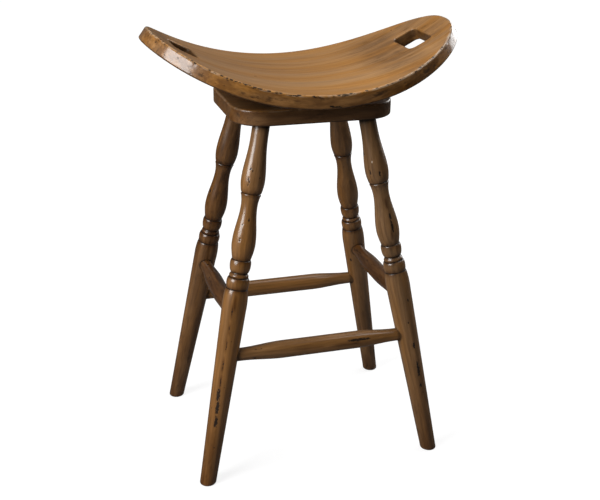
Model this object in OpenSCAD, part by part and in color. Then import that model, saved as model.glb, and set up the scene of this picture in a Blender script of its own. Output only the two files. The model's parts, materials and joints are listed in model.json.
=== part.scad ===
// Bar stool with a bowed oval seat that swivels on a ball bearing over a fixed base.
// The origin is on the floor under the middle of the seat, with +Z up. The seat is longest along X.
// The base is a board on four splayed turned legs, joined by four turned stretchers.

/* [Seat] */
// Straight distance between the two end edges of the seat's top face
seat_length = 510; // [460:1:600]
// Width of the seat's top face, front to back
seat_width = 340; // [310:1:400]
// Thickness of the seat slab
seat_thickness = 22.5; // [18:0.5:30]
// Radius of the bow in the seat's top face
seat_bend_radius = 429; // [380:1:700]
// Fullness of the oval: 2 is an ellipse, more is squarer
seat_fullness = 2.2; // [2:0.05:2.6]
// Rounding of the seat's edges
seat_edge_radius = 3; // [1.5:0.5:5]

/* [Hand holes] */
// Distance from the middle of the seat to the middle of each hand hole, along the bow
hand_hole_reach = 206; // [180:0.5:212]
// Size of a hand hole along the bow
hand_hole_length = 43; // [30:1:48]
// Size of a hand hole across the seat
hand_hole_width = 82; // [70:1:100]
// Corner radius of a hand hole
hand_hole_corner = 9; // [4:0.5:14]

/* [Base board] */
// Height of the board's underside above the floor
board_height = 617; // [560:1:680]
// Length of the board, left to right
board_length = 274; // [262:1:320]
// Width of the board, front to back
board_width = 225; // [214:1:260]
// Thickness of the board
board_thickness = 26; // [22:0.5:36]
// Corner radius of the board, seen from above
board_corner = 54; // [30:1:80]
// Rounding of the board's upper and lower edges
board_edge_radius = 3; // [1:0.5:5]

/* [Legs] */
// Distance between the left and right legs' axes at the floor
foot_spread_x = 414; // [340:1:460]
// Distance between the front and back legs' axes at the floor
foot_spread_y = 312; // [250:1:340]
// Distance between the left and right legs' axes at the board's underside
top_spread_x = 179; // [168:1:190]
// Distance between the front and back legs' axes at the board's underside
top_spread_y = 165; // [148:1:172]
// Radius of a leg at the floor
foot_radius = 14.1; // [12:0.1:18]
// Radius of the leg's shoulder, its thickest turning
shoulder_radius = 21.1; // [19.5:0.1:25]
// Radius of the two long swells above the shoulder
swell_radius = 19.8; // [18:0.1:23]
// Radius of the leg's slender stretches
waist_radius = 13.7; // [12:0.1:16]
// Radius of the leg's top end, under the board
neck_radius = 14.2; // [12:0.1:17]
// Radius of the ball turned between shoulder and swell
ball_radius = 17.7; // [16.5:0.1:21]
// Radius of the fat ring turned above the shoulder
ring_radius = 19.2; // [18:0.1:22]
// Radius of the round tenon on a leg's top
leg_tenon_radius = 11; // [9:0.5:12]
// Wood left over a leg's mortise in the board
board_mortise_cover = 6; // [4:0.5:10]

/* [Turnings] */
// Length of a leg's tapered shaft, from the floor to the thickest line of its shoulder
shaft_length = 325; // [310:1:345]
// Length of the shoulder's rounding above that line
shoulder_length = 26.5; // [16:0.5:30]
// Height of the fat ring above the shoulder
ring_length = 18.5; // [14:0.5:24]
// Height of the thin collar above the ring
collar_length = 8; // [6:0.5:12]
// Height of the ball above the collar
ball_length = 22; // [18:0.5:28]
// Length of the lower swell up to its thickest line
lower_swell_rise = 28; // [20:0.5:40]
// Length from the lower swell's thickest line up to the waist
lower_swell_fall = 62.5; // [40:0.5:75]
// Length from the waist up to the upper swell's thickest line
upper_swell_rise = 43; // [35:0.5:60]
// Distance from the upper swell's thickest line down to the scored line on its flank
score_drop = 21.5; // [15:0.5:26]

/* [Stretchers] */
// Height of the front and back stretchers' axes above the floor
footrest_height = 228; // [200:0.5:240]
// Distance, along a leg, from its shoulder's thickest line down to the side stretcher's axis
side_stretcher_drop = 19; // [16:0.5:40]
// Radius of a stretcher's thick middle
stretcher_radius = 15.3; // [13:0.1:17]
// Radius of a stretcher's ends and tenons
stretcher_tenon_radius = 11.2; // [8:0.1:11.8]
// Length over which a stretcher swells from its end to its full thickness
stretcher_taper = 76; // [50:1:80]
// How far a stretcher's tenon reaches past the leg's axis
stretcher_tenon_reach = 4; // [1:0.5:6]

/* [Swivel] */
// Clear gap between the board and the lowest line of the seat
seat_gap = 10.5; // [8:0.5:13]
// Height of the swivel over both plates
swivel_height = 16; // [15.5:0.5:20]
// Side of the square swivel plates
plate_side = 140; // [136:1:160]
// Corner radius of the swivel plates
plate_corner = 16; // [8:1:24]
// Thickness of the pressed steel
plate_gauge = 2; // [1.6:0.1:2.3]
// Outer radius of the pressed dish in each plate, at the plate's flange
dish_radius = 62; // [60:0.5:64]
// Radius of the circle on which the balls run
race_radius = 45; // [42:0.5:47]
// Diameter of a bearing ball
ball_diameter = 6.35; // [5.5:0.05:6.5]
// Number of bearing balls
ball_count = 24; // [12:1:30]
// Thickness of the ball cage
cage_gauge = 1.2; // [0.8:0.1:1.4]
// Radial width of the ball cage
cage_width = 16; // [14:0.5:18]
// Outer radius of the hollow centre rivet's shank
rivet_radius = 12; // [8:0.5:14]
// Wall thickness of the centre rivet
rivet_wall = 2.5; // [1.5:0.1:4]

/* [Screws] */
// Distance from the middle to each plate screw, along X and along Y
screw_offset = 58; // [54:0.5:60]
// Diameter of a wood screw's shank
screw_diameter = 4.2; // [3.5:0.1:5]
// Diameter of a wood screw's head
screw_head_diameter = 8.4; // [7:0.1:9]
// Height of a wood screw's head
screw_head_height = 2.6; // [2:0.1:3]
// Length of a wood screw under its head
screw_length = 14; // [10:0.5:15]
// Diameter of the hole in the board that lets a driver reach the seat screws
access_diameter = 16; // [14:0.5:20]

/* [Hidden] */
$fn = 96;

// Thickness of a film of glue round a tenon, and the running clearance of turning steel parts
glue_film = 0.05;
running_clearance = 0.05;
// Extra that lets one shape cut cleanly through another
cut_extra = 1;

// Heights of the main levels above the floor
board_top = board_height + board_thickness;
seat_underside = board_top + seat_gap;
seat_top = seat_underside + seat_thickness;
plate_seat_level = board_top + swivel_height;
swivel_middle = board_top + swivel_height / 2;
bend_axis_height = seat_top + seat_bend_radius;
underside_radius = seat_bend_radius + seat_thickness;

// Half angle of the bow at the seat's end edges
seat_half_angle = asin(seat_length / 2 / seat_bend_radius);

// Slopes of a leg's axis: how far it moves outwards for each unit that it goes down
leg_slope_x = (foot_spread_x - top_spread_x) / 2 / board_height;
leg_slope_y = (foot_spread_y - top_spread_y) / 2 / board_height;
leg_stretch = sqrt(1 + pow(leg_slope_x, 2) + pow(leg_slope_y, 2));
leg_tilt = acos(1 / leg_stretch);
leg_heading = atan2(leg_slope_y, leg_slope_x);
// The square end of the leg touches the board with its outer rim
leg_top = (board_height - glue_film) * leg_stretch - neck_radius * tan(leg_tilt);
leg_tenon_top = (board_top - board_mortise_cover) * leg_stretch - leg_tenon_radius * tan(leg_tilt);
mortise_end_gap = 1;
side_stretcher_height = (shaft_length - side_stretcher_drop) / leg_stretch;
// The leg is drawn down to below the floor before its sole is cut level
below_floor = 20;
// Clear of the leg's thickest turning, a stretcher's swelling starts this much further along
stretcher_neck = 2;

// Length over which the straight shaft rounds over into the shoulder
shoulder_blend = 9;
// How far up its own height each small turning is thickest
ring_peak_share = 0.57;
collar_peak_share = 0.37;
ball_peak_share = 0.66;
// Landmarks of the turning, as distances from the floor along a leg's axis
shoulder_start = shaft_length - shoulder_blend;
shoulder_peak = shaft_length;
ring_groove = shoulder_peak + shoulder_length;
ring_peak = ring_groove + ring_length * ring_peak_share;
collar_groove = ring_groove + ring_length;
collar_peak = collar_groove + collar_length * collar_peak_share;
ball_neck = collar_groove + collar_length;
ball_peak = ball_neck + ball_length * ball_peak_share;
ball_groove = ball_neck + ball_length;
lower_swell_peak = ball_groove + lower_swell_rise;
waist = lower_swell_peak + lower_swell_fall;
upper_swell_peak = waist + upper_swell_rise;
score_height = upper_swell_peak - score_drop;
// The shaft's straight taper ends this much short of the shoulder's full radius
shoulder_swell = 0.3;
shaft_end_radius = shoulder_radius - shoulder_swell;
// How slowly the upper swell runs out into the neck: 1 is an even S
neck_ease = 1.86;
// Depths of the grooves over the shoulder and over the ball
ring_groove_depth = 3.4;
ball_groove_depth = 2.3;
// How much thicker than the waist the leg is at the collar, and in the groove under it
collar_rise = 2.7;
collar_groove_rise = 2;
// Radii at the grooves between the turnings
ring_groove_radius = shoulder_radius - ring_groove_depth;
collar_groove_radius = waist_radius + collar_groove_rise;
collar_radius = waist_radius + collar_rise;
ball_groove_radius = ball_radius - ball_groove_depth;
// A scored line with a small bead under it runs round the lower flank of the upper swell
score_depth = 1.3;
score_width = 2.6;
bead_radius = 1.6;
// Rounding of the foot's edge, which leaves a flat sole
foot_edge_radius = 3.5;
leg_top_chamfer = 1;

// Clear gap between the two plates' platforms, which the balls bridge
dish_gap = 3.8;
// Dish of the pressed plates: height of its platform over the flange and the slope of its wall
dish_rise = (swivel_height - 2 * plate_gauge - dish_gap) / 2;
dish_wall_run = 6;
dish_wall_inset = 0.5;
race_rib_width = 9;
ball_radius_steel = ball_diameter / 2;
race_rib_depth = 1.3;
rivet_head_width = 4;
rivet_head_height = 1.5;
washer_gauge = 1;
screw_hole_clearance = 0.4;
screw_tip_length = 4;
screw_tip_diameter = 0.6;
pocket_clearance = 1;

// Pieces that repeat: the four corners, as signs of X and Y
FRONT_LEFT = [-1, -1];
FRONT_RIGHT = [1, -1];
BACK_LEFT = [-1, 1];
BACK_RIGHT = [1, 1];
CORNERS = [FRONT_LEFT, FRONT_RIGHT, BACK_LEFT, BACK_RIGHT];

// Curves that join two radii of a turning. Each goes from 0 to 1 as t does.
function s_curve(t) = (1 - cos(180 * t)) / 2;
function long_neck(t) = 1 - pow(s_curve(1 - t), neck_ease);
function arrive_flat(t) = sin(90 * t);
function round_out(t) = sqrt(max(0, 1 - pow(1 - t, 2)));
function round_in(t) = 1 - sqrt(max(0, 1 - pow(t, 2)));
function straight(t) = t;
// Points of one stretch of a turning, from its start up to but not including its end
function stretch_points(from, to, curve, steps) =
    [for (i = [0 : steps - 1]) let (t = i / steps)
        [from[1] + (to[1] - from[1]) * curve(t), from[0] + (to[0] - from[0]) * t]];

// A list from its last element to its first
function reversed(list) = [for (i = [len(list) - 1 : -1 : 0]) list[i]];

// Half outline of a leg, as [radius, distance along the leg], from below the floor to its top end
shaft_taper = (shaft_end_radius - foot_radius) / shoulder_start;
leg_outline_start = [-below_floor, foot_radius - below_floor * shaft_taper];
leg_outline = concat(
    [[0, leg_outline_start[0]]],
    stretch_points(leg_outline_start, [shoulder_start, shaft_end_radius], function (t) straight(t), 1),
    stretch_points([shoulder_start, shaft_end_radius], [shoulder_peak, shoulder_radius],
        function (t) arrive_flat(t), 4),
    stretch_points([shoulder_peak, shoulder_radius], [ring_groove, ring_groove_radius],
        function (t) round_in(t), 8),
    stretch_points([ring_groove, ring_groove_radius], [ring_peak, ring_radius],
        function (t) round_out(t), 7),
    stretch_points([ring_peak, ring_radius], [collar_groove, collar_groove_radius],
        function (t) round_in(t), 7),
    stretch_points([collar_groove, collar_groove_radius], [collar_peak, collar_radius],
        function (t) round_out(t), 4),
    stretch_points([collar_peak, collar_radius], [ball_neck, waist_radius],
        function (t) s_curve(t), 4),
    stretch_points([ball_neck, waist_radius], [ball_peak, ball_radius],
        function (t) round_out(t), 8),
    stretch_points([ball_peak, ball_radius], [ball_groove, ball_groove_radius],
        function (t) round_in(t), 6),
    stretch_points([ball_groove, ball_groove_radius], [lower_swell_peak, swell_radius],
        function (t) arrive_flat(t), 9),
    stretch_points([lower_swell_peak, swell_radius], [waist, waist_radius],
        function (t) s_curve(t), 12),
    stretch_points([waist, waist_radius], [upper_swell_peak, swell_radius],
        function (t) s_curve(t), 12),
    stretch_points([upper_swell_peak, swell_radius], [leg_top - leg_top_chamfer, neck_radius],
        function (t) long_neck(t), 14),
    [[neck_radius, leg_top - leg_top_chamfer], [neck_radius - leg_top_chamfer, leg_top], [0, leg_top]]);

// Radius of the upper swell's lower flank at the scored line
score_surface_radius = waist_radius + (swell_radius - waist_radius)
    * s_curve((score_height - waist) / (upper_swell_peak - waist));

// Half the distance between the axes of two neighbouring legs at a height above the floor
function half_span_x(height) = foot_spread_x / 2 - leg_slope_x * height;
function half_span_y(height) = foot_spread_y / 2 - leg_slope_y * height;

// Places what is drawn along +Z from the origin on the axis of the leg at a corner
module on_leg_axis(corner) {
    mirror([corner.x < 0 ? 1 : 0, 0, 0])
        mirror([0, corner.y < 0 ? 1 : 0, 0])
            translate([foot_spread_x / 2, foot_spread_y / 2, 0])
                rotate([0, 0, leg_heading])
                    rotate([0, -leg_tilt, 0])
                        children();
}

// Repeats what is drawn at each of the four plate screws
module at_each_screw() {
    for (corner = CORNERS)
        translate([corner.x * screw_offset, corner.y * screw_offset, 0])
            children();
}

// Rectangle with round corners, made of true arcs
module rounded_rectangle(length, width, corner_radius) {
    square([length - 2 * corner_radius, width], center = true);
    square([length, width - 2 * corner_radius], center = true);
    for (corner = CORNERS)
        translate([corner.x * (length / 2 - corner_radius), corner.y * (width / 2 - corner_radius)])
            circle(r = corner_radius);
}

// Flat board standing on z = 0 with round corners, and round edges above and below
module soft_board(length, width, thickness, corner_radius, edge_radius) {
    // Section across the board: a bar of the given breadth with its edges rounded
    module section(breadth) {
        translate([0, thickness / 2])
            rounded_rectangle(breadth, thickness, edge_radius);
    }
    for (corner = CORNERS)
        translate([corner.x * (length / 2 - corner_radius), corner.y * (width / 2 - corner_radius), 0])
            rotate_extrude()
                intersection() {
                    section(2 * corner_radius);
                    square([corner_radius, thickness]);
                }
    rotate([90, 0, 90])
        translate([0, 0, corner_radius - length / 2])
            linear_extrude(length - 2 * corner_radius)
                section(width);
    rotate([90, 0, 0])
        translate([0, 0, corner_radius - width / 2])
            linear_extrude(width - 2 * corner_radius)
                section(length);
}

// Oval outline of the seat. Its points are as evenly spaced in angle as a superellipse allows.
outline_steps = 96;
function oval_point(angle, half_length, half_width) =
    [half_length * sign(cos(angle)) * pow(abs(cos(angle)), 2 / seat_fullness),
     half_width * sign(sin(angle)) * pow(abs(sin(angle)), 2 / seat_fullness)];
function oval(half_length, half_width) =
    [for (i = [0 : outline_steps - 1])
        oval_point((i + 0.5) * 360 / outline_steps, half_length, half_width)];

// The same outline, drawn on a plane at some depth below the bend axis instead of on the seat's top face
function at_depth(points, depth) =
    [for (p = points) [depth * p.x / sqrt(pow(seat_bend_radius, 2) - pow(p.x, 2)), p.y]];

// Prism through an outline of the seat's top face, whose walls all point at the bend axis
module radial_prism(points) {
    near = seat_bend_radius * cos(seat_half_angle) / 2;
    far = underside_radius + cut_extra;
    translate([0, 0, bend_axis_height - far])
        linear_extrude(height = far - near, scale = [near / far, 1], slices = 1)
            polygon(at_depth(points, far));
}

// A point of the seat, from its place on the flat, unbent slab and its depth below the top face
function bent(along, across, depth) =
    let (angle = along / seat_bend_radius * 180 / PI, radius = seat_bend_radius + depth)
        [radius * sin(angle), across, bend_axis_height - radius * cos(angle)];

// Ring that trims one edge of the seat round. The section is a list of [inset, depth] pairs.
module edge_trimmer(outline, section) {
    count = len(outline);
    sides = len(section);
    flat = [for (p = outline) [seat_bend_radius * asin(p.x / seat_bend_radius) * PI / 180, p.y]];
    points = [for (i = [0 : count - 1])
        let (before = flat[(i + count - 1) % count], after = flat[(i + 1) % count],
            run = (after - before) / norm(after - before), inward = [-run.y, run.x])
            for (s = section) bent(flat[i].x + inward.x * s[0], flat[i].y + inward.y * s[0], s[1])];
    faces = [for (i = [0 : count - 1], j = [0 : sides - 1])
        let (next_i = (i + 1) % count, next_j = (j + 1) % sides)
            [i * sides + j, i * sides + next_j, next_i * sides + next_j, next_i * sides + j]];
    polyhedron(points, faces);
}

// Section of a trimmer for the upper edge: an arc in three chords, the outer two drawn out past the seat
function round_section(radius) =
    let (near = radius * (1 - cos(30)), far = radius * (1 - cos(60)))
        [[radius + far, -near], [far, near], [near, far], [-near, radius + far],
         [-near - radius, radius + far], [-near - radius, -near]];

// Curved slab between the seat's two faces, as long and as wide as asked
module bent_slab(width) {
    translate([0, 0, bend_axis_height])
        rotate([90, 0, 0])
            difference() {
                cylinder(r = underside_radius, h = width, center = true, $fn = 360);
                cylinder(r = seat_bend_radius, h = width + 2 * cut_extra, center = true, $fn = 360);
            }
}

// Opening through the seat for a hand
module hand_hole(side) {
    translate([0, 0, bend_axis_height])
        rotate([0, -side * hand_hole_reach / seat_bend_radius * 180 / PI, 0])
            translate([0, 0, -underside_radius - seat_thickness])
                linear_extrude(3 * seat_thickness)
                    rounded_rectangle(hand_hole_length, hand_hole_width, hand_hole_corner);
}

// Wood screw along +Z with its head's underside at z = 0 and its head below that
module wood_screw() {
    translate([0, 0, -screw_head_height])
        cylinder(d = screw_head_diameter, h = screw_head_height);
    cylinder(d = screw_diameter, h = screw_length - screw_tip_length);
    translate([0, 0, screw_length - screw_tip_length])
        cylinder(d1 = screw_diameter, d2 = screw_tip_diameter, h = screw_tip_length);
}

// Hole that a wood screw sits in, from its head's underside
module screw_pilot() {
    translate([0, 0, -cut_extra])
        cylinder(d = screw_diameter + 2 * glue_film, h = screw_length + mortise_end_gap + cut_extra);
}

// The seat, with its hand holes and the pocket that seats the swivel's upper plate
module seat() {
    outline = oval(seat_length / 2, seat_width / 2);
    pocket_side = plate_side + 2 * pocket_clearance;
    color("#8a5a2e")
        difference() {
            intersection() {
                bent_slab(seat_width + 2 * cut_extra);
                radial_prism(outline);
            }
            edge_trimmer(outline, round_section(seat_edge_radius));
            edge_trimmer(outline, [for (s = reversed(round_section(seat_edge_radius)))
                [s[0], seat_thickness - s[1]]]);
            for (side = [-1, 1])
                hand_hole(side);
            translate([0, 0, seat_underside - cut_extra])
                linear_extrude(plate_seat_level - seat_underside + cut_extra)
                    rounded_rectangle(pocket_side, pocket_side, plate_corner + pocket_clearance);
            translate([0, 0, plate_seat_level - plate_gauge])
                at_each_screw()
                    screw_pilot();
        }
}

// The board that carries the swivel and holds the legs' tenons
module base_board() {
    color("#6b4423")
        difference() {
            translate([0, 0, board_height])
                soft_board(board_length, board_width, board_thickness, board_corner, board_edge_radius);
            for (corner = CORNERS)
                on_leg_axis(corner)
                    translate([0, 0, leg_top - board_thickness])
                        cylinder(r = leg_tenon_radius + glue_film,
                            h = leg_tenon_top + mortise_end_gap - leg_top + board_thickness);
            translate([0, 0, board_top + plate_gauge])
                mirror([0, 0, 1])
                    at_each_screw()
                        screw_pilot();
            translate([screw_offset * sqrt(2), 0, board_height - cut_extra])
                cylinder(d = access_diameter, h = board_thickness + 2 * cut_extra);
        }
}

// A turned leg, its foot cut level with the floor
module leg(corner) {
    sole_centre = [corner.x * foot_spread_x / 2, corner.y * foot_spread_y / 2, 0];
    color("#6b4423")
        difference() {
            on_leg_axis(corner) {
                difference() {
                    rotate_extrude()
                        polygon(leg_outline);
                    translate([0, 0, score_height])
                        rotate_extrude()
                            polygon([[score_surface_radius - score_depth, 0],
                                [score_surface_radius + score_depth, score_width],
                                [score_surface_radius + score_depth, -score_width]]);
                }
                translate([0, 0, score_height - score_width])
                    rotate_extrude()
                        translate([score_surface_radius - bead_radius, 0])
                            circle(r = bead_radius, $fn = 32);
                translate([0, 0, leg_top - cut_extra])
                    cylinder(r = leg_tenon_radius, h = leg_tenon_top - leg_top + cut_extra);
            }
            // Everything below the floor
            translate([0, 0, -2 * below_floor])
                translate(sole_centre)
                    cylinder(r = 2 * shoulder_radius, h = 2 * below_floor);
            // The edge of the sole
            translate(sole_centre)
                rotate_extrude()
                    translate([foot_radius - foot_edge_radius, 0])
                        difference() {
                            translate([0, -cut_extra])
                                square([2 * foot_edge_radius, foot_edge_radius + cut_extra]);
                            translate([0, foot_edge_radius])
                                circle(r = foot_edge_radius);
                        }
            // Mortises for the front or back stretcher and for a side stretcher
            translate([corner.x * half_span_x(footrest_height), corner.y * half_span_y(footrest_height),
                footrest_height])
                rotate([0, -corner.x * 90, 0])
                    stretcher_mortise();
            translate([corner.x * half_span_x(side_stretcher_height),
                corner.y * half_span_y(side_stretcher_height), side_stretcher_height])
                rotate([corner.y * 90, 0, 0])
                    stretcher_mortise();
        }
}

// Blind hole in a leg for a stretcher's tenon, which comes in along +Z towards the leg's axis at z = 0
module stretcher_mortise() {
    translate([0, 0, -stretcher_tenon_reach - mortise_end_gap])
        cylinder(r = stretcher_tenon_radius + glue_film, h = 3 * shoulder_radius);
}

// A turned stretcher along Z, centred, for legs whose axes are two half spans apart
module stretcher(half_span) {
    // The swelling starts clear of the leg
    taper_start = half_span - shoulder_radius - stretcher_neck;
    taper_end = taper_start - stretcher_taper;
    tip = half_span + stretcher_tenon_reach;
    half = concat(
        stretch_points([taper_end, stretcher_radius], [taper_start, stretcher_tenon_radius],
            function (t) s_curve(t), 12),
        [[stretcher_tenon_radius, taper_start], [stretcher_tenon_radius, tip], [0, tip]]);
    color("#6b4423")
        rotate_extrude()
            polygon(concat(half, [for (p = reversed(half)) [p[0], -p[1]]]));
}

// A stretcher that runs left to right on the given side, -1 front or 1 back
module long_stretcher(side) {
    translate([0, side * half_span_y(footrest_height), footrest_height])
        rotate([0, 90, 0])
            stretcher(half_span_x(footrest_height));
}

// A stretcher that runs front to back on the given side, -1 left or 1 right
module side_stretcher(side) {
    translate([side * half_span_x(side_stretcher_height), 0, side_stretcher_height])
        rotate([90, 0, 0])
            stretcher(half_span_y(side_stretcher_height));
}

// One pressed plate of the swivel, with its flange on z = 0 and its dish rising along +Z
module swivel_plate() {
    hole_radius = rivet_radius + running_clearance;
    platform_top = dish_rise + plate_gauge;
    middle = swivel_height / 2;
    color("#8d9094")
        difference() {
            union() {
                linear_extrude(plate_gauge)
                    difference() {
                        rounded_rectangle(plate_side, plate_side, plate_corner);
                        circle(r = dish_radius - plate_gauge);
                    }
                rotate_extrude()
                    difference() {
                        union() {
                            polygon([[hole_radius, dish_rise],
                                [dish_radius - dish_wall_run - plate_gauge, dish_rise],
                                [dish_radius - plate_gauge - dish_wall_inset, 0],
                                [dish_radius, 0],
                                [dish_radius, plate_gauge],
                                [dish_radius - dish_wall_run, platform_top],
                                [hole_radius, platform_top]]);
                            translate([race_radius - race_rib_width / 2, dish_rise - race_rib_depth])
                                square([race_rib_width, race_rib_depth + cut_extra]);
                        }
                        translate([race_radius, middle])
                            circle(r = ball_radius_steel + running_clearance);
                    }
            }
            translate([0, 0, -cut_extra])
                at_each_screw()
                    cylinder(d = screw_diameter + screw_hole_clearance, h = plate_gauge + 2 * cut_extra);
        }
}

module swivel_lower_plate() {
    translate([0, 0, board_top])
        swivel_plate();
}

module swivel_upper_plate() {
    translate([0, 0, plate_seat_level])
        mirror([0, 0, 1])
            swivel_plate();
}

// Flat ring with a hole for each ball
module ball_cage() {
    color("#b08d57")
        translate([0, 0, swivel_middle])
            difference() {
                cylinder(r = race_radius + cage_width / 2, h = cage_gauge, center = true);
                cylinder(r = race_radius - cage_width / 2, h = cage_gauge + 2 * cut_extra, center = true);
                for (i = [0 : ball_count - 1])
                    rotate([0, 0, i * 360 / ball_count])
                        translate([race_radius, 0, 0])
                            cylinder(r = ball_radius_steel + 2 * running_clearance,
                                h = cage_gauge + 2 * cut_extra, center = true, $fn = 48);
            }
}

module bearing_balls() {
    color("#c8ccd0")
        translate([0, 0, swivel_middle])
            for (i = [0 : ball_count - 1])
                rotate([0, 0, i * 360 / ball_count])
                    translate([race_radius, 0, 0])
                        sphere(r = ball_radius_steel, $fn = 48);
}

// Hollow rivet through both plates, its lower head under the lower plate's platform
module swivel_rivet() {
    lower_head_top = board_top + dish_rise;
    upper_head_bottom = plate_seat_level - dish_rise + running_clearance + washer_gauge;
    head_radius = rivet_radius + rivet_head_width;
    color("#9a9da1")
        difference() {
            union() {
                translate([0, 0, lower_head_top - rivet_head_height])
                    cylinder(r = head_radius, h = rivet_head_height);
                translate([0, 0, lower_head_top - cut_extra])
                    cylinder(r = rivet_radius, h = upper_head_bottom - lower_head_top + 2 * cut_extra);
                translate([0, 0, upper_head_bottom])
                    cylinder(r = head_radius, h = rivet_head_height);
            }
            translate([0, 0, board_top])
                cylinder(r = rivet_radius - rivet_wall, h = swivel_height);
        }
}

// Flat washer between the upper plate and the rivet's upper head
module thrust_washer() {
    color("#b08d57")
        translate([0, 0, plate_seat_level - dish_rise + running_clearance])
            difference() {
                cylinder(r = rivet_radius + rivet_head_width + 1, h = washer_gauge);
                translate([0, 0, -cut_extra])
                    cylinder(r = rivet_radius + running_clearance, h = washer_gauge + 2 * cut_extra);
            }
}

module base_screws() {
    color("#c9a24b")
        translate([0, 0, board_top + plate_gauge])
            mirror([0, 0, 1])
                at_each_screw()
                    wood_screw();
}

module seat_screws() {
    color("#c9a24b")
        translate([0, 0, plate_seat_level - plate_gauge])
            at_each_screw()
                wood_screw();
}

seat();
base_board();
leg(FRONT_LEFT);  // leg_front_left
leg(FRONT_RIGHT);  // leg_front_right
leg(BACK_LEFT);  // leg_back_left
leg(BACK_RIGHT);  // leg_back_right
long_stretcher(-1);  // stretcher_front
long_stretcher(1);  // stretcher_back
side_stretcher(-1);  // stretcher_left
side_stretcher(1);  // stretcher_right
swivel_lower_plate();
swivel_upper_plate();
ball_cage();
bearing_balls();
swivel_rivet();
thrust_washer();
base_screws();
seat_screws();
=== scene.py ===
"""Looks of a bar stool whose bowed oval seat swivels over a base with turned legs.

Everything is in metres, with +Z up, the floor at z = 0 and the seat longest along X.
"""

from __future__ import annotations

import json
import logging
import math
from dataclasses import dataclass, field
from enum import Enum

import bmesh
import bpy
import numpy as np
from mathutils import Matrix, Vector
from mathutils.geometry import delaunay_2d_cdt

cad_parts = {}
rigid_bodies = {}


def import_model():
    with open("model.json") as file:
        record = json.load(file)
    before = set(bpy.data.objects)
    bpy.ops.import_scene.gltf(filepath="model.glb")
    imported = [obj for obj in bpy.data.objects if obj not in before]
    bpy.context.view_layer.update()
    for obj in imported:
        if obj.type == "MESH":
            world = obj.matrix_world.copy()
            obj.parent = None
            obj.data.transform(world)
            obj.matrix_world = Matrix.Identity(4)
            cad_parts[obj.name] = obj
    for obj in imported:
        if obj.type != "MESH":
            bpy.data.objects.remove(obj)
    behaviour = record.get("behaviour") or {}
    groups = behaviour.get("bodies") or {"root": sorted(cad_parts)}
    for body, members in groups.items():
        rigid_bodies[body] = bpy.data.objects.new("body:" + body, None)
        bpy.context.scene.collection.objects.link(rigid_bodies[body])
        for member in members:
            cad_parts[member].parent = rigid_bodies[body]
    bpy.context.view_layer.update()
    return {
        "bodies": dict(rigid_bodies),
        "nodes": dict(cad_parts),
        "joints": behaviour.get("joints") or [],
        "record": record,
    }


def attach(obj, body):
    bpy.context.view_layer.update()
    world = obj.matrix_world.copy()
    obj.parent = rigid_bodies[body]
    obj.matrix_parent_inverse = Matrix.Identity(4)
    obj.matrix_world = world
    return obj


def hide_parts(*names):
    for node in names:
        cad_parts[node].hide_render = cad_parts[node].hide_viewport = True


Array = np.ndarray
Faces = list[tuple[int, ...]]
Joint = tuple[Array, Array, float, float]
Material = bpy.types.Material
Mesh = bpy.types.Mesh
Pair = tuple[float, float]
Piece = bpy.types.Object
Socket = bpy.types.NodeSocket
Triple = tuple[float, float, float]

LOG = logging.getLogger("stool")
GRAIN, GROOVE, EDGE, SHADE, MARK = "grain", "groove", "edge", "shade", "mark"
CREASE_ANGLE = math.radians(38)
SAME_PLACE = 1e-7
WHITE = (1, 1, 1, 1)


class Corner(Enum):
    """The four legs, as signs of X and Y."""

    FRONT_LEFT = (-1, -1)
    FRONT_RIGHT = (1, -1)
    BACK_LEFT = (-1, 1)
    BACK_RIGHT = (1, 1)

    @property
    def title(self) -> str:
        """The corner's name as the pieces spell it."""
        return self.name.lower()


class Curve(Enum):
    """How the radius of a turning runs from one landmark to the next."""

    STRAIGHT = "straight"
    WAVE = "wave"
    FLAT_END = "flat_end"
    ROUND_OUT = "round_out"
    ROUND_IN = "round_in"
    NECK = "neck"

    def sample(self, steps: int) -> list[Pair]:
        """Places along the stretch with how much of the change in radius is done there.

        Args:
            steps: how many places, without the stretch's end.

        Returns:
            Pairs of (share of the length, share of the change).
        """
        neck_ease = 1.86
        found = []
        for k in range(steps):
            t = k / steps
            quarter = t * math.pi / 2
            wave = (1 - math.cos(math.pi * t)) / 2
            found.append({
                Curve.STRAIGHT: (t, t),
                Curve.WAVE: (t, wave),
                Curve.FLAT_END: (t, math.sin(quarter)),
                Curve.ROUND_OUT: (1 - math.cos(quarter), math.sin(quarter)),
                Curve.ROUND_IN: (math.sin(quarter), 1 - math.cos(quarter)),
                Curve.NECK: (t, 1 - (1 - wave) ** neck_ease),
            }[self])
        return found


@dataclass(frozen=True)
class Mark:
    """A dent, a dark scuff or a soft streak on a turned piece.

    along is the distance along the piece, angle is 0 at the front and 90 at the right, and
    length and width are those of the mark. A strength below 0 makes a pale spot, here a
    painted glint, and a soft mark only darkens the stain.
    """

    along: float
    angle: float
    length: float
    width: float
    depth: float = 0.0003
    strength: float = 1.0
    soft: bool = False


@dataclass(frozen=True)
class Spot:
    """A dent, a pale spot or a soft darker patch on a board, at a point with a reach along X, Y and
    Z; a pale spot here is a painted glint, and one soft patch is painted shade.
    """

    at: Triple
    reach: Triple
    depth: float = 0.0003
    strength: float = 1.0
    soft: bool = False


@dataclass(frozen=True)
class Dress:
    """A material with the record's slot that it fills."""

    material: Material
    slot: str


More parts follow.
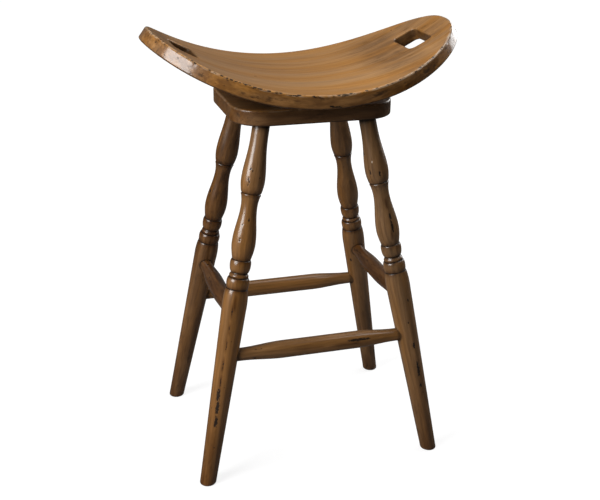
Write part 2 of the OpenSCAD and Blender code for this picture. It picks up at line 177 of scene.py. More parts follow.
class Graph:
    """A node tree under construction."""

    def __init__(self, tree: bpy.types.NodeTree) -> None:
        """Takes the tree and empties it."""
        self.tree = tree
        tree.nodes.clear()

    def node(self, kind: str, inputs: dict | None = None, **settings: object) -> bpy.types.Node:
        """Adds a node.

        Args:
            kind: the node's type name.
            inputs: values or sockets for its inputs, by name or by index.
            settings: the node's own properties.

        Returns:
            The new node.
        """
        made = self.tree.nodes.new(kind)
        for key, value in settings.items():
            setattr(made, key, value)
        for key, value in (inputs or {}).items():
            self.give(made.inputs[key], value)
        return made

    def give(self, socket: Socket, value: object) -> None:
        """Feeds an input.

        Args:
            socket: the input.
            value: another node's output, or what the input is set to.
        """
        if isinstance(value, Socket):
            self.tree.links.new(value, socket)
        else:
            socket.default_value = value

    def math(self, operation: str, *values: object, clamp: bool = False) -> Socket:
        """Adds a Math node.

        Args:
            operation: the node's operation.
            values: numbers or sockets, in the node's order.
            clamp: keeps the result from 0 to 1.

        Returns:
            The node's result.
        """
        inputs = dict(enumerate(values))
        return self.node("ShaderNodeMath", inputs, operation=operation, use_clamp=clamp).outputs[0]

    def vector(self, operation: str, *values: object, output: str = "Vector") -> Socket:
        """Adds a Vector Math node.

        Args:
            operation: the node's operation.
            values: vectors or sockets, in the node's order.
            output: the result's name, which is Value for a length.

        Returns:
            The node's result.
        """
        inputs = dict(enumerate(values))
        return self.node("ShaderNodeVectorMath", inputs, operation=operation).outputs[output]

    def combine(self, **parts: object) -> Socket:
        """A vector of its X, Y and Z parts."""
        return self.node("ShaderNodeCombineXYZ", parts).outputs[0]

    def separate(self, vector: Socket) -> bpy.types.NodeOutputs:
        """The X, Y and Z parts of a vector."""
        return self.node("ShaderNodeSeparateXYZ", {"Vector": vector}).outputs

    def chance(self, number: Socket) -> Socket:
        """A random number from 0 to 1 that belongs to another number."""
        made = self.node("ShaderNodeTexWhiteNoise", {"W": number}, noise_dimensions="1D")
        return made.outputs["Value"]

    def noise(self, at: Socket, scale: Triple, detail: float = 2.0, roughness: float = 0.5,
              output: str = "Fac") -> Socket:
        """Adds noise over coordinates that are first stretched.

        Args:
            at: the coordinates.
            scale: how often the noise repeats per metre along each axis.
            detail: the node's octaves.
            roughness: how much the fine octaves count.
            output: Fac for a number or Color for three.

        Returns:
            The noise, about 0.5.
        """
        made = self.node("ShaderNodeTexNoise", {
            "Vector": self.vector("MULTIPLY", at, scale), "Scale": 1.0, "Detail": detail,
            "Roughness": roughness})
        return made.outputs[output]

    def band(self, value: Socket, low: float, high: float, to_low: float = 0.0,
             to_high: float = 1.0) -> Socket:
        """Adds a smooth step.

        Args:
            value: what is followed.
            low: where the step begins.
            high: where it ends.
            to_low: the result up to low.
            to_high: the result from high on.

        Returns:
            The step's result.
        """
        made = self.node("ShaderNodeMapRange", {
            "Value": value, "From Min": low, "From Max": high, "To Min": to_low,
            "To Max": to_high}, interpolation_type="SMOOTHSTEP")
        return made.outputs["Result"]

    def mix(self, factor: object, first: object, second: object, blend: str = "MIX") -> Socket:
        """Mixes two colours.

        Args:
            factor: how much the second one counts.
            first: a socket or a colour.
            second: a socket or a colour.
            blend: the way they are mixed.

        Returns:
            The mixed colour.
        """
        made = self.node("ShaderNodeMix", {"Factor": factor}, data_type="RGBA", blend_type=blend)
        for socket, value in ((made.inputs[6], first), (made.inputs[7], second)):
            self.give(socket, value if isinstance(value, Socket) else (*value, 1))
        return made.outputs[2]

    def stored(self, name: str, output: str = "Fac") -> Socket:
        """An attribute of the mesh, as a number or as a vector."""
        return self.node("ShaderNodeAttribute", attribute_name=name).outputs[output]

    def shiny_rays(self, path: bpy.types.NodeOutputs) -> Socket:
        """1 for light that is mirrored or seen through something, from a Light Path's outputs."""
        return self.math("MAXIMUM", path["Is Glossy Ray"], path["Is Transmission Ray"])


@dataclass(frozen=True)
class WoodFinish:
    """Stained wood under a dark glaze and clear lacquer, worn and dented by use.

    side multiplies the stain's colour where the shade attribute is high: a darker stain on
    the sides and soft patches, partly painted shade on walls, undersides and shaded pieces.
    stave is the width of the glued staves, or 0 for a piece turned from one stick.
    """

    name: str
    slot: str
    pale: Triple
    middle: Triple
    dark: Triple
    side: Triple = (0.41, 0.37, 0.35)
    glaze: Triple = (0.006, 0.0035, 0.002)
    # pale colour of worn edges and pale spots, partly a painted glint
    rubbed: Triple = (0.46, 0.37, 0.27)
    stave: float = 0.0
    ring_spacing: float = 0.006
    contrast: float = 1.0
    speck_share: float = 0.12
    roughness: float = 0.43
    coat: float = 0.6
    coat_roughness: float = 0.14

    def build(self) -> Dress:
        """Builds the material.

        Returns:
            The material with its slot.
        """
        material = new_material(self.name)
        WoodGraph(material.node_tree, self).build()
        return Dress(material, self.slot)


class WoodGraph(Graph):
    """The nodes of a wood finish.

    The grain attribute holds the unbent wood's own coordinates, with the grain along X. The
    groove, edge, shade and mark attributes tell where glaze is left, partly as painted shade,
    where edges wear and carry a painted glint, where a darker stain and painted shade take
    over, and where marks and painted glints are.
    """

    MEAN_TONE = 0.755

    def __init__(self, tree: bpy.types.NodeTree, finish: WoodFinish) -> None:
        """Reads the attributes and tells a board's glued staves apart.

        Args:
            tree: the material's node tree.
            finish: the finish's colours and sizes.
        """
        super().__init__(tree)
        self.finish = finish
        self.grain = self.stored(GRAIN, "Vector")
        self.groove, self.edge, self.shade, self.mark = (
            self.stored(name) for name in (GROOVE, EDGE, SHADE, MARK))
        self.stave_tone: object = 0.5
        if finish.stave:
            across = self.separate(self.grain)["Y"]
            number = self.math("FLOOR", self.math("DIVIDE", across, finish.stave))
            self.stave_tone = self.chance(number)
            shift = self.combine(X=self.math("MULTIPLY", self.stave_tone, 3.0),
                                 Z=self.math("MULTIPLY", self.stave_tone, 0.7))
            self.grain = self.vector("ADD", self.grain, shift)

    def streaks(self, along: float, across: float, detail: float = 2.0,
                roughness: float = 0.5) -> Socket:
        """Noise that is stretched along the grain, with its repeats per metre along and across."""
        return self.noise(self.grain, (along, across, across), detail, roughness)

    def build(self) -> None:
        """Lays stain, rubbed edges, glaze, pits and lacquer over each other."""
        wood = self.finish
        tone, pits, glazed = self.tone(), self.pits(), self.glazed()
        ramp = self.node("ShaderNodeValToRGB", {"Fac": tone})
        stops = ramp.color_ramp.elements
        stops[0].position, stops[0].color = 0.12, (*wood.dark, 1)
        stops[1].position, stops[1].color = 0.88, (*wood.pale, 1)
        stops.new(0.5).color = (*wood.middle, 1)
        # painted highlight: worn edges and pale spots take the pale colour, partly standing for
        # glints
        colour = self.mix(self.bare(), self.tinted(ramp.outputs["Color"]), wood.rubbed)
        colour = self.mix(glazed, colour, wood.glaze)
        colour = self.mix(self.math("MULTIPLY", pits, 0.93), colour, wood.glaze)
        fibre = self.streaks(30, 900, 3.0)
        rough = self.math("MULTIPLY_ADD", self.streaks(14, 60), 0.22, wood.roughness - 0.11)
        rough = self.math("MULTIPLY_ADD", self.math("MAXIMUM", pits, glazed), 0.25, rough)
        height = self.math("MULTIPLY_ADD", fibre, 0.12, self.math("MULTIPLY", tone, 0.25))
        height = self.math("SUBTRACT", height, self.math("MULTIPLY", pits, 1.6))
        bump = self.node("ShaderNodeBump", {"Height": height, "Strength": 0.5, "Distance": 0.0005})
        shader = self.node("ShaderNodeBsdfPrincipled", {
            "Base Color": colour, "Roughness": rough, "Normal": bump.outputs["Normal"],
            "Specular IOR Level": 0.14, "Coat Roughness": wood.coat_roughness,
            "Coat Weight": self.math("MULTIPLY_ADD", glazed, -0.85 * wood.coat, wood.coat)})
        self.node("ShaderNodeOutputMaterial", {"Surface": shader.outputs["BSDF"]})

    def tone(self) -> Socket:
        """How pale the wood is, from growth rings, broad streaks and fine fibres.

        Returns:
            A number from 0, dark, to 1, pale.
        """
        warp = self.noise(self.grain, (3, 18, 18), output="Color")
        bent = self.vector("ADD", self.vector("MULTIPLY", self.grain, (0.06, 1, 1)),
                           self.vector("MULTIPLY", warp, (0.0, 0.022, 0.022)))
        rings = self.node("ShaderNodeTexWave", {
            "Vector": bent, "Scale": 0.314 / self.finish.ring_spacing, "Distortion": 1.2,
            "Detail": 2.0, "Detail Scale": 1.5},
            wave_type="RINGS", rings_direction="X", wave_profile="SAW").outputs["Fac"]
        broad, streak = self.streaks(1.8, 26, 3.0, 0.55), self.streaks(8, 120, 4.0, 0.66)
        fine = self.streaks(26, 800, 2.0, 0.6)
        total: object = 0.0
        for layer, share in ((broad, 0.45), (rings, 0.1), (streak, 0.62), (fine, 0.22),
                             (self.stave_tone, 0.12)):
            total = self.math("MULTIPLY_ADD", layer, share, total)
        return self.math("MULTIPLY_ADD", self.math("SUBTRACT", total, self.MEAN_TONE),
                         1.25 * self.finish.contrast, 0.5, clamp=True)

    def tinted(self, colour: Socket) -> Socket:
        """Darkens the sides, the soft patches and the painted shade, and lets the stain run from
        honey to greyish.

        Args:
            colour: the wood's colour.

        Returns:
            The tinted colour.
        """
        cloudy = self.band(self.streaks(20, 90, 3.0, 0.6), 0.3, 0.7, 0.62, 1.15)
        # painted shade: the shade attribute darkens walls, undersides and shaded pieces too
        darkened = self.math("MULTIPLY", self.shade, cloudy, clamp=True)
        drift = self.streaks(2.2, 34)
        return self.node("ShaderNodeHueSaturation", {
            "Hue": self.math("MULTIPLY_ADD", drift, -0.012, 0.506),
            "Saturation": self.band(drift, 0.3, 0.7, 0.92, 1.05),
            "Color": self.mix(darkened, colour, self.finish.side, "MULTIPLY")}).outputs["Color"]

    def pits(self) -> Socket:
        """Where small pits and the dark marks hold glaze.

        Returns:
            How much of a pit or mark a point is, from 0 to 1.
        """
        ragged = self.noise(self.grain, (300, 500, 500), output="Color")
        places = self.vector("ADD", self.vector("MULTIPLY", self.grain, (34, 62, 62)),
                             self.vector("MULTIPLY", ragged, (0.14, 0.14, 0.14)))
        cells = self.node("ShaderNodeTexVoronoi", {
            "Vector": places, "Scale": 1.0, "Randomness": 1.0}).outputs
        number = self.node("ShaderNodeSeparateColor", {"Color": cells["Color"]}).outputs["Red"]
        chosen = self.math("LESS_THAN", number, self.finish.speck_share)
        specks = self.math("MULTIPLY", self.band(cells["Distance"], 0.17, 0.07), chosen)
        marked = self.math("MULTIPLY_ADD", self.streaks(260, 620, 3.0, 0.6), -1.7,
                           self.math("MULTIPLY", self.mark, 1.5))
        return self.math("MAXIMUM", specks, self.band(marked, 0.0, 0.3))

    def glazed(self) -> Socket:
        """Where dark glaze was left in the grooves, on the sides and in dashes along the edges, and
        where painted shade is laid in as glaze.

        Returns:
            How much glaze a point holds, from 0 to 1.
        """
        uneven = self.band(self.streaks(90, 90), 0.2, 0.6, 0.7, 1.0)
        in_groove = self.math("MULTIPLY", self.groove, uneven, clamp=True)
        smudges = self.band(self.streaks(30, 120, 4.0, 0.7), 0.53, 0.7)
        on_side = self.math("MULTIPLY", self.math("MULTIPLY", self.shade, smudges, clamp=True), 0.7)
        dashes = self.band(self.streaks(60, 190, 3.0, 0.7), 0.56, 0.62)
        on_edge = self.math("MULTIPLY", self.band(self.edge, 0.7, 0.98),
                            self.math("MULTIPLY", dashes, 0.85))
        return self.math("MAXIMUM", in_groove, self.math("MAXIMUM", on_side, on_edge))

    def bare(self) -> Socket:
        """Where use has worn the stain off the edges, with a pale line that is partly a painted
        glint, and where a pale spot is set, which here is a painted glint.

        Returns:
            How bare a point is, from 0 to 1.
        """
        worn = self.band(self.streaks(22, 60, 3.0, 0.7), 0.56, 0.42)
        rubbed = self.math("MULTIPLY", self.band(self.edge, 0.8, 1.0),
                           self.math("MULTIPLY", worn, 0.42))
        pale_spots_and_glints = self.math("MULTIPLY_ADD", self.streaks(260, 620), -0.9,
                            self.math("MULTIPLY", self.mark, -1.25))
        return self.math("MAXIMUM", rubbed, self.band(pale_spots_and_glints, 0.0, 0.2))


@dataclass(frozen=True)
class MetalFinish:
    """Plated or bare metal with faint brushing and blotches."""

    name: str
    slot: str
    colour: Triple
    roughness: float = 0.34
    blotch: float = 0.25

    def build(self) -> Dress:
        """Builds the material.

        Returns:
            The material with its slot.
        """
        material = new_material(self.name)
        g = Graph(material.node_tree)
        at = g.node("ShaderNodeTexCoord").outputs["Object"]
        cloud, fine = g.noise(at, (60, 60, 60), 4.0, 0.6), g.noise(at, (900, 120, 900))
        dull = tuple(c * 0.55 for c in self.colour)
        blotches = g.math("MULTIPLY", g.band(cloud, 0.4, 0.75), self.blotch)
        brushed = g.math("MULTIPLY_ADD", fine, 0.08, self.roughness - 0.14)
        bump = g.node("ShaderNodeBump", {"Height": fine, "Strength": 0.15, "Distance": 0.0001})
        shader = g.node("ShaderNodeBsdfPrincipled", {
            "Base Color": g.mix(blotches, self.colour, dull), "Metallic": 1.0,
            "Roughness": g.math("MULTIPLY_ADD", cloud, 0.25, brushed),
            "Normal": bump.outputs["Normal"]})
        g.node("ShaderNodeOutputMaterial", {"Surface": shader.outputs["BSDF"]})
        return Dress(material, self.slot)


def new_material(name: str) -> Material:
    """Starts a material.

    Args:
        name: its name.

    Returns:
        The material, with nodes.
    """
    material = bpy.data.materials.new(name)
    material.use_nodes = True
    return material


def added(name: str, data: bpy.types.ID) -> Piece:
    """Puts a new object in the scene.

    Args:
        name: its name.
        data: its mesh, light or camera.

    Returns:
        The object.
    """
    made = bpy.data.objects.new(name, data)
    bpy.context.scene.collection.objects.link(made)
    return made


def new_piece(name: str, mesh: Mesh, dress: Dress, body: str, node: str) -> None:
    """Puts a finished mesh in the scene as a piece of the stool.

    Args:
        name: the piece's name.
        mesh: its mesh, already in place.
        dress: its material and slot.
        body: the body that it rides on.
        node: the solid that it stands for.
    """
    mesh.name = name
    mesh.materials.clear()
    mesh.materials.append(dress.material)
    piece = added(name, mesh)
    mesh.shade_smooth()
    mesh.set_sharp_from_angle(angle=CREASE_ANGLE)
    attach(piece, body)
    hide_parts(node)
    LOG.info("%s: %d faces, rides on %s", name, len(mesh.polygons), body)


def positions(mesh: Mesh) -> Array:
    """Reads a mesh's vertices.

    Args:
        mesh: the mesh.

    Returns:
        Their places, one a row.
    """
    co = np.empty(len(mesh.vertices) * 3)
    mesh.vertices.foreach_get("co", co)
    return co.reshape(-1, 3)


def set_positions(mesh: Mesh, points: Array) -> None:
    """Moves a mesh's vertices to the given points."""
    mesh.vertices.foreach_set("co", np.asarray(points, float).ravel())
    mesh.update()


def store(mesh: Mesh, given: dict[str, Array]) -> None:
    """Stores vertex attributes, in place of what their names held.

    Args:
        mesh: the mesh.
        given: a number or a vector for each vertex, by attribute name.
    """
    for name, values in given.items():
        if name in mesh.attributes:
            mesh.attributes.remove(mesh.attributes[name])
        values = np.asarray(values, np.float32)
        kind, key = ("FLOAT_VECTOR", "vector") if values.ndim == 2 else ("FLOAT", "value")
        mesh.attributes.new(name, kind, "POINT").data.foreach_set(key, values.ravel())


def stored(mesh: Mesh, name: str) -> Array:
    """Reads a vertex attribute.

    Args:
        mesh: the mesh.
        name: the attribute's name.

    Returns:
        A number or a vector for each vertex.
    """
    attribute = mesh.attributes[name]
    width, key = (3, "vector") if attribute.data_type == "FLOAT_VECTOR" else (1, "value")
    values = np.empty(len(mesh.vertices) * width, np.float32)
    attribute.data.foreach_get(key, values)
    return values.reshape(-1, 3).astype(float) if width == 3 else values.astype(float)


def evaluated(piece: Piece) -> Mesh:
    """Takes the mesh that an object's modifiers make and removes the object.

    Args:
        piece: the object, with its modifiers.

    Returns:
        The mesh, as plain data.
    """
    graph = bpy.context.evaluated_depsgraph_get()
    mesh = bpy.data.meshes.new_from_object(piece.evaluated_get(graph),
                                           preserve_all_data_layers=True, depsgraph=graph)
    old = piece.data
    bpy.data.objects.remove(piece)
    bpy.data.meshes.remove(old)
    return mesh


def cut(mesh: Mesh, cutter: Mesh) -> Mesh:
    """Cuts one closed mesh out of another.

    Args:
        mesh: what is cut.
        cutter: what is taken away.

    Returns:
        The new mesh.
    """
    target, tool = added("cut target", mesh), added("cut tool", cutter)
    modifier = target.modifiers.new("Cut", "BOOLEAN")
    modifier.operation, modifier.solver, modifier.object = "DIFFERENCE", "EXACT", tool
    made = evaluated(target)
    bpy.data.objects.remove(tool)
    bpy.data.meshes.remove(cutter)
    return made


def face_outwards(mesh: Mesh, merge: bool = False) -> None:
    """Turns the faces of a closed mesh outwards.

    Args:
        mesh: the mesh.
        merge: whether vertices in the same place become one first.
    """
    bm = bmesh.new()
    bm.from_mesh(mesh)
    if merge:
        bmesh.ops.remove_doubles(bm, verts=bm.verts, dist=SAME_PLACE)
    bmesh.ops.recalc_face_normals(bm, faces=bm.faces)
    bm.to_mesh(mesh)
    bm.free()


def mesh_of(points: Array, faces: Faces, merge: bool = True) -> Mesh:
    """Makes a closed mesh.

    Args:
        points: its points.
        faces: its faces, as indices of points.
        merge: whether points in the same place become one.

    Returns:
        The mesh, with its faces turned outwards.
    """
    mesh = bpy.data.meshes.new("made")
    mesh.from_pydata([tuple(p) for p in points], [], faces)
    face_outwards(mesh, merge)
    return mesh


def lifted(flat: Array, height: float) -> Array:
    """Points of a plane as points in space at one height."""
    return np.column_stack([flat, np.full(len(flat), height)])


def prism(low: Array, high: Array) -> Mesh:
    """Makes a closed bar between two loops, for cutting.

    Args:
        low: one end's points, in order.
        high: the other end's, as many and in the same order.

    Returns:
        The mesh.
    """
    size = len(low)
    faces = [(k, (k + 1) % size, size + (k + 1) % size, size + k) for k in range(size)]
    faces += [tuple(range(size)), tuple(range(size, 2 * size))]
    return mesh_of(np.vstack([low, high]), faces)


def rod(start: Array, end: Array, radius: float, facets: int = 64) -> Mesh:
    """Makes a closed round bar between two points.

    Args:
        start: one end's middle.
        end: the other end's middle.
        radius: its radius.
        facets: how many faces go round.

    Returns:
        The mesh.
    """
    axis = (end - start) / np.linalg.norm(end - start)
    side = np.cross(axis, (0, 1, 0) if abs(axis[1]) < 0.9 else (1, 0, 0))
    side /= np.linalg.norm(side)
    turn = np.linspace(0, 2 * math.pi, facets, endpoint=False)[:, None]
    ring = radius * (np.cos(turn) * side + np.sin(turn) * np.cross(axis, side))
    return prism(start + ring, end + ring)


def bell(values: Array, centre: float, width: float) -> Array:
    """A hump that is 1 at a centre and has faded to about a third at a width from it."""
    return np.exp(-(((values - centre) / width) ** 2))


def smooth_bumps(points: Array, seed: int, size: float, waves: int = 24) -> Array:
    """Makes gentle random bumps out of sine waves.

    Args:
        points: where the bumps are wanted.
        seed: picks them, always the same ones for the same seed.
        size: the length of an average wave.
        waves: how many waves there are.

    Returns:
        The height at each point, from about -1 to 1.
    """
    rng = np.random.default_rng(seed)
    direction = rng.normal(size=(waves, 3))
    direction /= np.linalg.norm(direction, axis=1)[:, None]
    pitch = 2 * math.pi / (size * rng.uniform(0.7, 1.8, waves))
    phase = rng.uniform(0, 2 * math.pi, waves)
    total = np.zeros(len(points))
    for d, p, f in zip(direction, pitch, phase):
        total += np.sin(points @ d * p + f)
    return total / math.sqrt(waves)


class GeometryGraph(Graph):
    """A Geometry Nodes tree that ends in plain geometry with a material."""

    def __init__(self, name: str, sockets: dict[str, str]) -> None:
        """Starts the tree.

        Args:
            name: its name.
            sockets: the kind of each input, by name, with the geometry first.
        """
        tree = bpy.data.node_groups.new(name, "GeometryNodeTree")
        for socket, kind in {**sockets, "Finish": "Material"}.items():
            tree.interface.new_socket(socket, in_out="INPUT", socket_type=f"NodeSocket{kind}")
        tree.interface.new_socket("Made", in_out="OUTPUT", socket_type="NodeSocketGeometry")
        super().__init__(tree)
        self.given = self.node("NodeGroupInput").outputs

    def round_z(self, radius: Socket, turn: Socket, height: Socket) -> Socket:
        """The point at a radius, an angle and a height round the Z axis."""
        x, y = (self.math("MULTIPLY", radius, self.math(way, turn)) for way in ("COSINE", "SINE"))
        return self.combine(X=x, Y=y, Z=height)

    def end(self, geometry: Socket) -> None:
        """Ends the tree in plain geometry with the finish that is given.

        Args:
            geometry: what the tree has made.
        """
        real = self.node("GeometryNodeRealizeInstances", {"Geometry": geometry}).outputs[0]
        done = self.node("GeometryNodeSetMaterial", {
            "Geometry": real, "Material": self.given["Finish"]})
        self.node("NodeGroupOutput", {"Made": done.outputs[0]})

    def run(self, mesh: Mesh, values: dict[str, object]) -> Mesh:
        """Sends a mesh through the tree.

        Args:
            mesh: the mesh, which is used up.
            values: what the tree's other inputs are set to, by name.

        Returns:
            What comes out, as plain data.
        """
        holder = added("made by nodes", mesh)
        modifier = holder.modifiers.new("Nodes", "NODES")
        modifier.node_group = self.tree
        for item in self.tree.interface.items_tree:
            if item.item_type == "SOCKET" and item.in_out == "INPUT" and item.name in values:
                modifier[item.identifier] = values[item.name]
        return evaluated(holder)


class Lathe(GeometryGraph):
    """A node tree that turns an outline round the Z axis."""

    def __init__(self) -> None:
        """Builds the tree once for all the turned pieces."""
        super().__init__("Lathe", {"Outline": "Geometry", "Facets": "Int", "Unevenness": "Float",
                                   "Seed": "Int"})
        given = self.given
        size = self.node("GeometryNodeAttributeDomainSize", {"Geometry": given["Outline"]})
        count = size.outputs["Point Count"]
        sheet = self.node("GeometryNodeMeshGrid", {
            "Size X": 1.0, "Size Y": 1.0, "Vertices Y": count,
            "Vertices X": self.math("ADD", given["Facets"], 1)})
        index = self.node("GeometryNodeInputIndex").outputs[0]
        row = self.math("MODULO", index, count)
        column = self.math("FLOOR", self.math("DIVIDE", self.math("ADD", index, 0.5), count))
        turn = self.math("MULTIPLY", self.math("DIVIDE", column, given["Facets"]), math.tau)
        named = self.node("GeometryNodeInputNamedAttribute", {"Name": GROOVE}, data_type="FLOAT")
        position = self.node("GeometryNodeInputPosition").outputs[0]
        groove, place = (
            self.node("GeometryNodeSampleIndex", {
                "Geometry": given["Outline"], "Value": value, "Index": row},
                data_type=kind, domain="POINT").outputs["Value"]
            for kind, value in (("FLOAT", named.outputs["Attribute"]), ("FLOAT_VECTOR", position)))
        parts = self.separate(place)
        around = self.round_z(parts["X"], turn, parts["Z"])
        noise = self.node("ShaderNodeTexNoise", {
            "Vector": self.vector("MULTIPLY", around, (40, 40, 14)), "W": given["Seed"],
            "Scale": 1.0, "Detail": 1.0}, noise_dimensions="4D").outputs["Fac"]
        stretch = self.math("MULTIPLY_ADD", self.math("SUBTRACT", noise, 0.5),
                            given["Unevenness"], 1.0)
        uneven = self.vector("MULTIPLY", around, self.combine(X=stretch, Y=stretch, Z=1.0))
        shape = self.node("GeometryNodeSetPosition", {
            "Geometry": sheet.outputs["Mesh"], "Position": uneven}).outputs[0]
        for name, kind, value in ((GROOVE, "FLOAT", groove), (GRAIN, "FLOAT_VECTOR", around)):
            shape = self.node("GeometryNodeStoreNamedAttribute", {
                "Geometry": shape, "Name": name, "Value": value},
                data_type=kind, domain="POINT").outputs["Geometry"]
        closed = self.node("GeometryNodeMergeByDistance", {"Geometry": shape, "Distance": 1e-6})
        self.end(closed.outputs[0])

    def turn(self, outline: list[Pair], groove: Array, finish: Material, facets: int,
             unevenness: float, seed: int) -> Mesh:
        """Turns an outline into a closed mesh along +Z.

        Args:
            outline: (radius, distance along the axis) from the bottom to the top.
            groove: how deep in a groove each of its points lies, 0 to 1.
            finish: the material.
            facets: how many faces go round.
            unevenness: how far the radius wanders, as a share of it.
            seed: picks the wandering.

        Returns:
            The mesh, with the grain and groove attributes.
        """
        line = bpy.data.meshes.new("outline")
        line.from_pydata([(r, 0.0, s) for r, s in outline],
                         [(k, k + 1) for k in range(len(outline) - 1)], [])
        store(line, {GROOVE: groove})
        mesh = self.run(line, {"Facets": facets, "Unevenness": unevenness, "Seed": seed,
                               "Finish": finish})
        face_outwards(mesh)
        return mesh


@dataclass
class Turned:
    """What the turned pieces share: an outline made of stretches, dents and dark joints."""

    lathe: Lathe
    dress: Dress
    facets: int = 96
    step: float = 0.0013
    long_step: float = 0.005
    long_stretch: float = 0.1

    def outline(self, start: Pair, stretches: list[tuple[float, float, Curve]]) -> list[Pair]:
        """Strings stretches of a turning together.

        Args:
            start: the first (distance along, radius).
            stretches: each stretch's end as (distance along, radius, curve).

        Returns:
            Points as (radius, distance along).
        """
        points = []
        for reach, radius, curve in stretches:
            length = abs(reach - start[0])
            step = self.long_step if length > self.long_stretch else self.step
            for along, change in curve.sample(max(3, math.ceil(length / step))):
                points.append((start[1] + (radius - start[1]) * change,
                               start[0] + (reach - start[0]) * along))
            start = (reach, radius)
        points.append((start[1], start[0]))
        return points

    @staticmethod
    def in_grooves(along: Array, grooves: list[Pair]) -> Array:
        """How deep in a groove each place along a piece lies.

        Args:
            along: the places, as distances along the piece.
            grooves: each groove's (distance along, half width).

        Returns:
            Numbers from 0 to 1.
        """
        depth = np.zeros(len(along))
        for centre, width in grooves:
            depth = np.maximum(depth, bell(along, centre, width))
        return depth

    @staticmethod
    def dent(local: Array, marks: list[Mark]) -> tuple[Array, Array, Array]:
        """Presses marks into a piece whose axis is Z and whose front is +X.

        Args:
            local: its points.
            marks: the marks.

        Returns:
            The moved points, how much each belongs to a mark, and how much to a soft stain.
        """
        radius = np.hypot(local[:, 0], local[:, 1])
        angle = np.arctan2(local[:, 1], local[:, 0])
        moved, weight, stain = local.copy(), np.zeros(len(local)), np.zeros(len(local))
        for mark in marks:
            off = (angle - math.radians(mark.angle) + math.pi) % math.tau - math.pi
            near = np.exp(-((local[:, 2] - mark.along) / (mark.length / 2)) ** 4
                          - (off * radius / (mark.width / 2)) ** 2)
            if mark.soft:
                stain = np.maximum(stain, near * mark.strength)
                continue
            weight = stronger(weight, near, mark.strength)
            inwards = np.where(radius > 1e-6, near * mark.depth / np.maximum(radius, 1e-6), 0)
            moved[:, :2] -= local[:, :2] * inwards[:, None]
        return moved, weight, stain

    @staticmethod
    def random_marks(seed: int, low: float, high: float, count: int) -> list[Mark]:
        """Small dents and soft streaks here and there on the right, the back and the left.

        Args:
            seed: picks them.
            low: the lowest place along the piece.
            high: the highest place.
            count: how many dents there are, and as many streaks.

        Returns:
            The marks.
        """
        rng = np.random.default_rng(seed)
        made = []
        for number in range(2 * count):
            along, angle = rng.uniform(low, high), rng.uniform(75, 250)
            size = rng.uniform(0.7, 1.5)
            if number % 2:
                made.append(Mark(along, angle, 0.05 * size, 0.006 * size, strength=0.7, soft=True))
            else:
                made.append(Mark(along, angle, 0.005 * size, 0.003 * size, strength=0.72))
        return made

    def finished(self, title: str, node: str, mesh: Mesh, shift: Triple,
                 values: dict[str, Array]) -> None:
        """Dresses a turned mesh that is in place and puts it in the scene.

        Args:
            title: what the piece's name says after "turned_".
            node: the solid that it stands for.
            mesh: the mesh, with the lathe's grain attribute.
            shift: moves its grain apart from the other pieces'.
            values: its other attributes.
        """
        grain = stored(mesh, GRAIN)[:, [2, 0, 1]]
        store(mesh, {GRAIN: grain + np.array(shift), **values})
        new_piece(f"turned_{title}", mesh, self.dress, "base", node)


